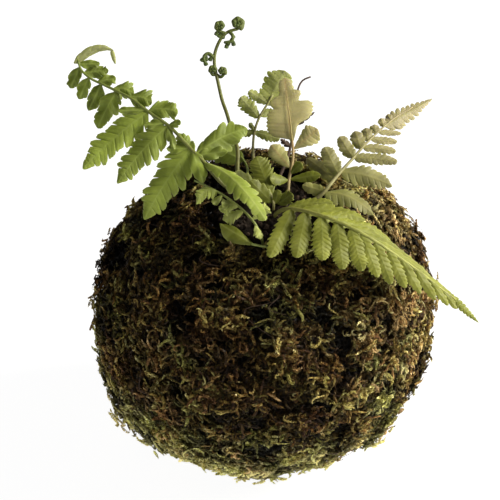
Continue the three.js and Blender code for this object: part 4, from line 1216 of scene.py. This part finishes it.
def grow_shoots(direction, polar, sunk, length, width, rng):
    """Shoots rooted in the given directions. Point k of an axis is the sum of steps that turn by
    a k + b k^3 and rise by c + d k at random: CURL and LATE_CURL are the spreads of a and b,
    RISE and RISE_GAIN the mean and spread of c and d. At each node three pointed leaves of one
    triangle hug the axis like scales, and their tips point forward and a little out."""
    count = len(direction)
    tuft, closeness, height = tuft_at(direction)
    swelling = relief(direction, polar)
    up = unit(direction * [1, 1, (BALL_RADIUS / BALL_HALF_HEIGHT) ** 2])
    root = ball_point(direction, SHOOT_INSET - TUFT_LIFT * height + sunk - swelling)

    leaning = unit(direction - tuft_direction[tuft] * closeness[:, None])
    heading = tuft_heading[tuft] * 0.6 + leaning * 0.7 + rng.normal(0, 0.8, (count, 3))
    heading = unit(heading - up * (heading * up).sum(-1, keepdims=True))
    beside = np.cross(up, heading)

    k = np.linspace(0, 1, LEAF_NODES)[None, :]
    turn = rng.normal(0, CURL, (count, 1)) * k + rng.normal(0, LATE_CURL, (count, 1)) * k ** 3
    rise = rng.normal(*RISE, (count, 1)) + rng.normal(*RISE_GAIN, (count, 1)) * k
    rise = rise - length[:, None] * k / BALL_RADIUS
    step = (length / LEAF_NODES)[:, None, None]
    flat = np.cos(turn)[..., None] * heading[:, None] + np.sin(turn)[..., None] * beside[:, None]
    ahead = np.cos(rise)[..., None] * flat + np.sin(rise)[..., None] * up[:, None]
    walked = np.cumsum(ahead[:, :-1] * step, axis=1)
    axis = root[:, None] + np.concatenate([np.zeros((count, 1, 3)), walked], axis=1)
    side = unit(np.cross(np.broadcast_to(up[:, None], ahead.shape), ahead))
    over = np.cross(ahead, side)

    size = (width[:, None] * np.sin(math.pi * (0.22 + 0.68 * k)) ** 0.6)[..., None]
    roll = rng.uniform(-0.7, 0.7, (count, 1)) + 0.65 * (np.arange(LEAF_NODES) % 2)
    leaves = []
    for rank in (-1, 0, 1):
        angle = (roll + RANK_TURN * rank)[..., None]
        outward = np.sin(angle) * side + np.cos(angle) * over
        spread = rng.uniform(0.6, 1.4, (count, LEAF_NODES, 1))
        base = axis + outward * size * LEAF_ROOT
        tip = base + (ahead * step * LEAF_LENGTH + outward * size * LEAF_LEAN) * spread
        broad = np.cross(ahead, outward) * size * LEAF_WIDTH
        leaves.append(np.stack([base + broad, tip, base - broad], 2))
    leaves = held_in(np.concatenate(leaves, 1), swelling[:, None, None, None])
    share = np.broadcast_to(np.tile(k, (1, 3)), leaves.shape[:2])
    leaves[..., 2] = np.maximum(leaves[..., 2], LOWEST_LEAF)

    # A shoot's tone keeps its tuft's painted light and shade, plus its own random spread.
    tone = tuft_tone_and_light[tuft] + rng.normal(0, SHOOT_TONE_SPREAD, count)
    green = tuft_green[tuft] + rng.normal(0, SHOOT_GREEN_SPREAD, count)
    leaf_tone = tone[:, None] + rng.normal(0, LEAF_TONE_SPREAD, share.shape) + TONE_GAIN * share
    tints = np.zeros((*leaves.shape[:3], 4))
    tints[..., 0] = np.clip(leaf_tone[..., None] + CORNER_TONES, 0, 1)
    # Green: how high the leaf lies, which the moss finish turns into painted shade deep down.
    tints[..., 1] = shade_level_of(leaves, swelling[:, None, None])
    tints[..., 2] = np.clip(green[:, None, None], 0, 1)
    return leaves, np.arange(leaves.size // 3).reshape(-1, 3), tints


QUARTERS = {"front": 180, "right": 270, "back": 0, "left": 90}
SHOOTS_EACH = 7800
QUARTER_HALF = 45
SUNK_LENGTH_WIDTH = ((-0.2, 2.2), (3.0, 6.8), (0.52, 1.2))
for quarter, middle_turn in QUARTERS.items():
    rng = np.random.default_rng(100 + middle_turn)
    direction, polar, turn = scattered(4 * SHOOTS_EACH, 22.5, 180, rng)
    mine = np.abs((turn - middle_turn + 180) % 360 - 180) <= QUARTER_HALF
    sunk, length, width = (rng.uniform(*span, mine.sum()) for span in SUNK_LENGTH_WIDTH)
    moss = grow_shoots(direction[mine], polar[mine], sunk, length, width, rng)
    piece(f"moss_shoots_{quarter}", [moss], moss_finish, smooth=False)

# %% Shoots on the lip and inner wall
LIP_SHOOTS = 1300
rng = np.random.default_rng(77)
turn = rng.uniform(0, 360, LIP_SHOOTS)
polar = rng.uniform(22.6, 26, LIP_SHOOTS)
sunk = rng.uniform(-1.5, 4, LIP_SHOOTS) * smoothstep(polar, 26, 23.5)
length, width = (rng.uniform(*span, LIP_SHOOTS) for span in ((3, 6), (0.6, 1.1)))
lip_moss = grow_shoots(ball_direction(polar, turn), polar, sunk, length, width, rng)
piece("moss_shoots_lip", [lip_moss], moss_finish, smooth=False)

# %% [markdown]
# ## Rootlets
# Fine dark roots and old moss stems wander over the ball. Each is a thin rod that follows
# the surface, with a slow wave to the side and in height.

# %% Rootlets
ROOTLET_COUNT = 110
ROOTLET_STEPS = 16
ROOTLET_SIDES = 4
ROOTLET_INSET = 1.7
ROOTLET_WAVE = 1.3


def rootlet(rng):
    """A rod over the ball: polar and turn go along a straight line with two waves added."""
    polar = rng.uniform(30, 165)
    turn = rng.uniform(0, 360)
    way = rng.uniform(0, 2 * math.pi)
    reach = rng.uniform(6, 16)
    share = np.linspace(0, 1, ROOTLET_STEPS)
    bend = rng.uniform(-0.5, 0.5) * np.sin(math.pi * share) + 0.12 * np.sin(rng.uniform(6, 12) * share)
    down = reach * (share * math.cos(way) - bend * math.sin(way))
    round_ = reach * (share * math.sin(way) + bend * math.cos(way)) / math.sin(math.radians(polar))
    polars = np.clip(polar + down, 26, 174)
    direction = ball_direction(polars, turn + round_)
    wave = ROOTLET_WAVE * np.cos(rng.uniform(4, 9) * share + rng.uniform(0, 6))
    path = ball_point(direction, ROOTLET_INSET + wave - relief(direction, polars))
    path[:, 2] = np.maximum(path[:, 2], 0.3)
    radii = rng.uniform(0.09, 0.2) * np.linspace(1, 0.4, ROOTLET_STEPS)
    return tube(path, radii, ROOTLET_SIDES, (rng.uniform(0, 0.6), rng.uniform(0.3, 1)))


rng = np.random.default_rng(5)
piece("moss_rootlets", [rootlet(rng) for _ in range(ROOTLET_COUNT)], STEM["dry brown"])

# %% [markdown]
# ## The soil
# In the mouth the soil shows dark and crumbly between the stems. A fine grid carries the
# CAD mound's form with lumps of two sizes, and loose crumbs lie on it.

# %% The soil mound and crumbs
SOIL_ROWS = 72
SOIL_AROUND = 100
SOIL_TONE = 0.35
COVERED_INSET = 8.4
CRUMB_COUNT = 600
CRUMB_SUNK = 0.35
GOLDEN = (1 + 5 ** 0.5) / 2
CRUMB_POINTS = unit([
    np.roll((a, b, 0), shift) for shift in range(3) for b in (GOLDEN, -GOLDEN) for a in (-1, 1)
])
NEIGHBOURS = CRUMB_POINTS @ CRUMB_POINTS.T > 0.4
CRUMB_FACES = np.array([
    face if np.linalg.det(CRUMB_POINTS[list(face)]) > 0 else face[::-1]
    for face in combinations(range(12), 3) if NEIGHBOURS[np.ix_(face, face)].all()
])


def soil_inset(direction, polar):
    """Sunk by SOIL_SUNK in the open mouth and covered by the moss beyond it, with lumps."""
    x, y, _ = np.moveaxis(direction, -1, 0)
    covered = smoothstep(polar, 14, 21)
    lumps = 0.7 * np.sin(31 * x + 1) * np.sin(29 * y + 2)
    lumps = lumps + 0.35 * np.sin(83 * x + 2 * np.sin(40 * y)) * np.sin(79 * y + 1)
    return (SOIL_SUNK + lumps) * (1 - covered) + COVERED_INSET * covered


def soil_part():
    """A closed globe with its rows at 180 t^2.2 degrees: fine in the mouth and coarse below."""
    polar = 180 * (np.linspace(0, 1, SOIL_ROWS)[:, None]) ** 2.2
    direction = ball_direction(polar, np.linspace(0, 360, SOIL_AROUND, endpoint=False)[None, :])
    points = ball_point(direction, soil_inset(direction, np.broadcast_to(polar, direction.shape[:2])))
    tints = np.tile([SOIL_TONE, 0.0, 0.0, 0.0], (SOIL_ROWS * SOIL_AROUND, 1))
    return points, grid_faces(SOIL_ROWS, SOIL_AROUND, closed=True)[:, ::-1], tints


def crumb_part(count, rng):
    """Icosahedra of 0.3 to 1.1 mm, each point moved in or out at random, sunk a third in the soil."""
    direction, polar, _ = scattered(count, 0, 21, rng)
    size = rng.uniform(0.3, 1.1, count) ** 1.3
    centre = ball_point(direction, soil_inset(direction, polar) - CRUMB_SUNK * size)
    bumps = rng.uniform(0.65, 1.25, (count, 12, 1)) * size[:, None, None]
    points = centre[:, None] + CRUMB_POINTS[None] * bumps
    faces = CRUMB_FACES[None] + 12 * np.arange(count)[:, None, None]
    tints = np.zeros((count, 12, 4))
    tints[..., 0] = rng.uniform(0.2, 1.0, (count, 1)) ** 1.5
    return points, faces, tints


crumbs = crumb_part(CRUMB_COUNT, np.random.default_rng(9))
piece("soil_mound", [soil_part()], soil_finish, ["soil_ball"])
piece("soil_crumbs", [crumbs], soil_finish, smooth=False)

# %% [markdown]
# ## Floor and light
# One large soft light stands above to the right, so the ball's left side falls into deep
# shade, and a weak fill keeps that side readable. The floor and the world look nearly
# white to the camera and throw less light back.

# %% The floor and the lights
FLOOR_HALF = 60.0


def stage_shader(tree, looks, throws):
    """Seen directly it is `looks` bright, and to all other rays it throws back `throws`."""
    path = add_node(tree, "ShaderNodeLightPath")
    return mix_colours(tree, path.outputs["Is Camera Ray"], (*[throws] * 3, 1), (*[looks] * 3, 1))


floor_mesh = bpy.data.meshes.new("floor")
corners = [(x * FLOOR_HALF, y * FLOOR_HALF, 0) for x, y in ((-1, -1), (1, -1), (1, 1), (-1, 1))]
floor_mesh.from_pydata(corners, [], [(0, 1, 2, 3)])
floor = add_object("floor", floor_mesh)
floor_finish = bpy.data.materials.new("pale floor")
floor_finish.use_nodes = True
tree = floor_finish.node_tree
shader = tree.nodes["Principled BSDF"]
colour = stage_shader(tree, looks=0.22, throws=0.95)
set_surface(tree, shader, colour, roughness=0.9, gloss=0.1)
glow = stage_shader(tree, looks=0.95, throws=0.5)
tree.links.new(glow, shader.inputs["Emission Color"])
shader.inputs["Emission Strength"].default_value = 1.0
floor_mesh.materials.append(floor_finish)

world = bpy.data.worlds.new("pale room")
bpy.context.scene.world = world
world.use_nodes = True
background = world.node_tree.nodes["Background"]
sky = stage_shader(world.node_tree, looks=1.0, throws=0.15)
world.node_tree.links.new(sky, background.inputs["Color"])


def soft_light(name, watts, size, direction, distance, colour):
    """A square area light of `size` metres that looks at the ball from a direction."""
    light = bpy.data.lights.new(name, "AREA")
    light.energy = watts
    light.size = size
    light.color = colour
    made = add_object(name, light)
    towards = Vector(direction).normalized()
    made.location = Vector(CENTRE * MM) + towards * distance
    made.rotation_euler = towards.to_track_quat("Z", "Y").to_euler()


WARM_LIGHT = (1.0, 0.97, 0.9)
COOL_LIGHT = (0.98, 0.97, 1.0)
soft_light("window", watts=11.8, size=0.4, direction=(0.85, 0.02, 0.6), distance=0.8, colour=WARM_LIGHT)
soft_light("fill", watts=1.1, size=0.8, direction=(-0.3, -0.9, 0.1), distance=0.9, colour=COOL_LIGHT)
bpy.context.scene.view_settings.view_transform = "Standard"
print("stage ready")
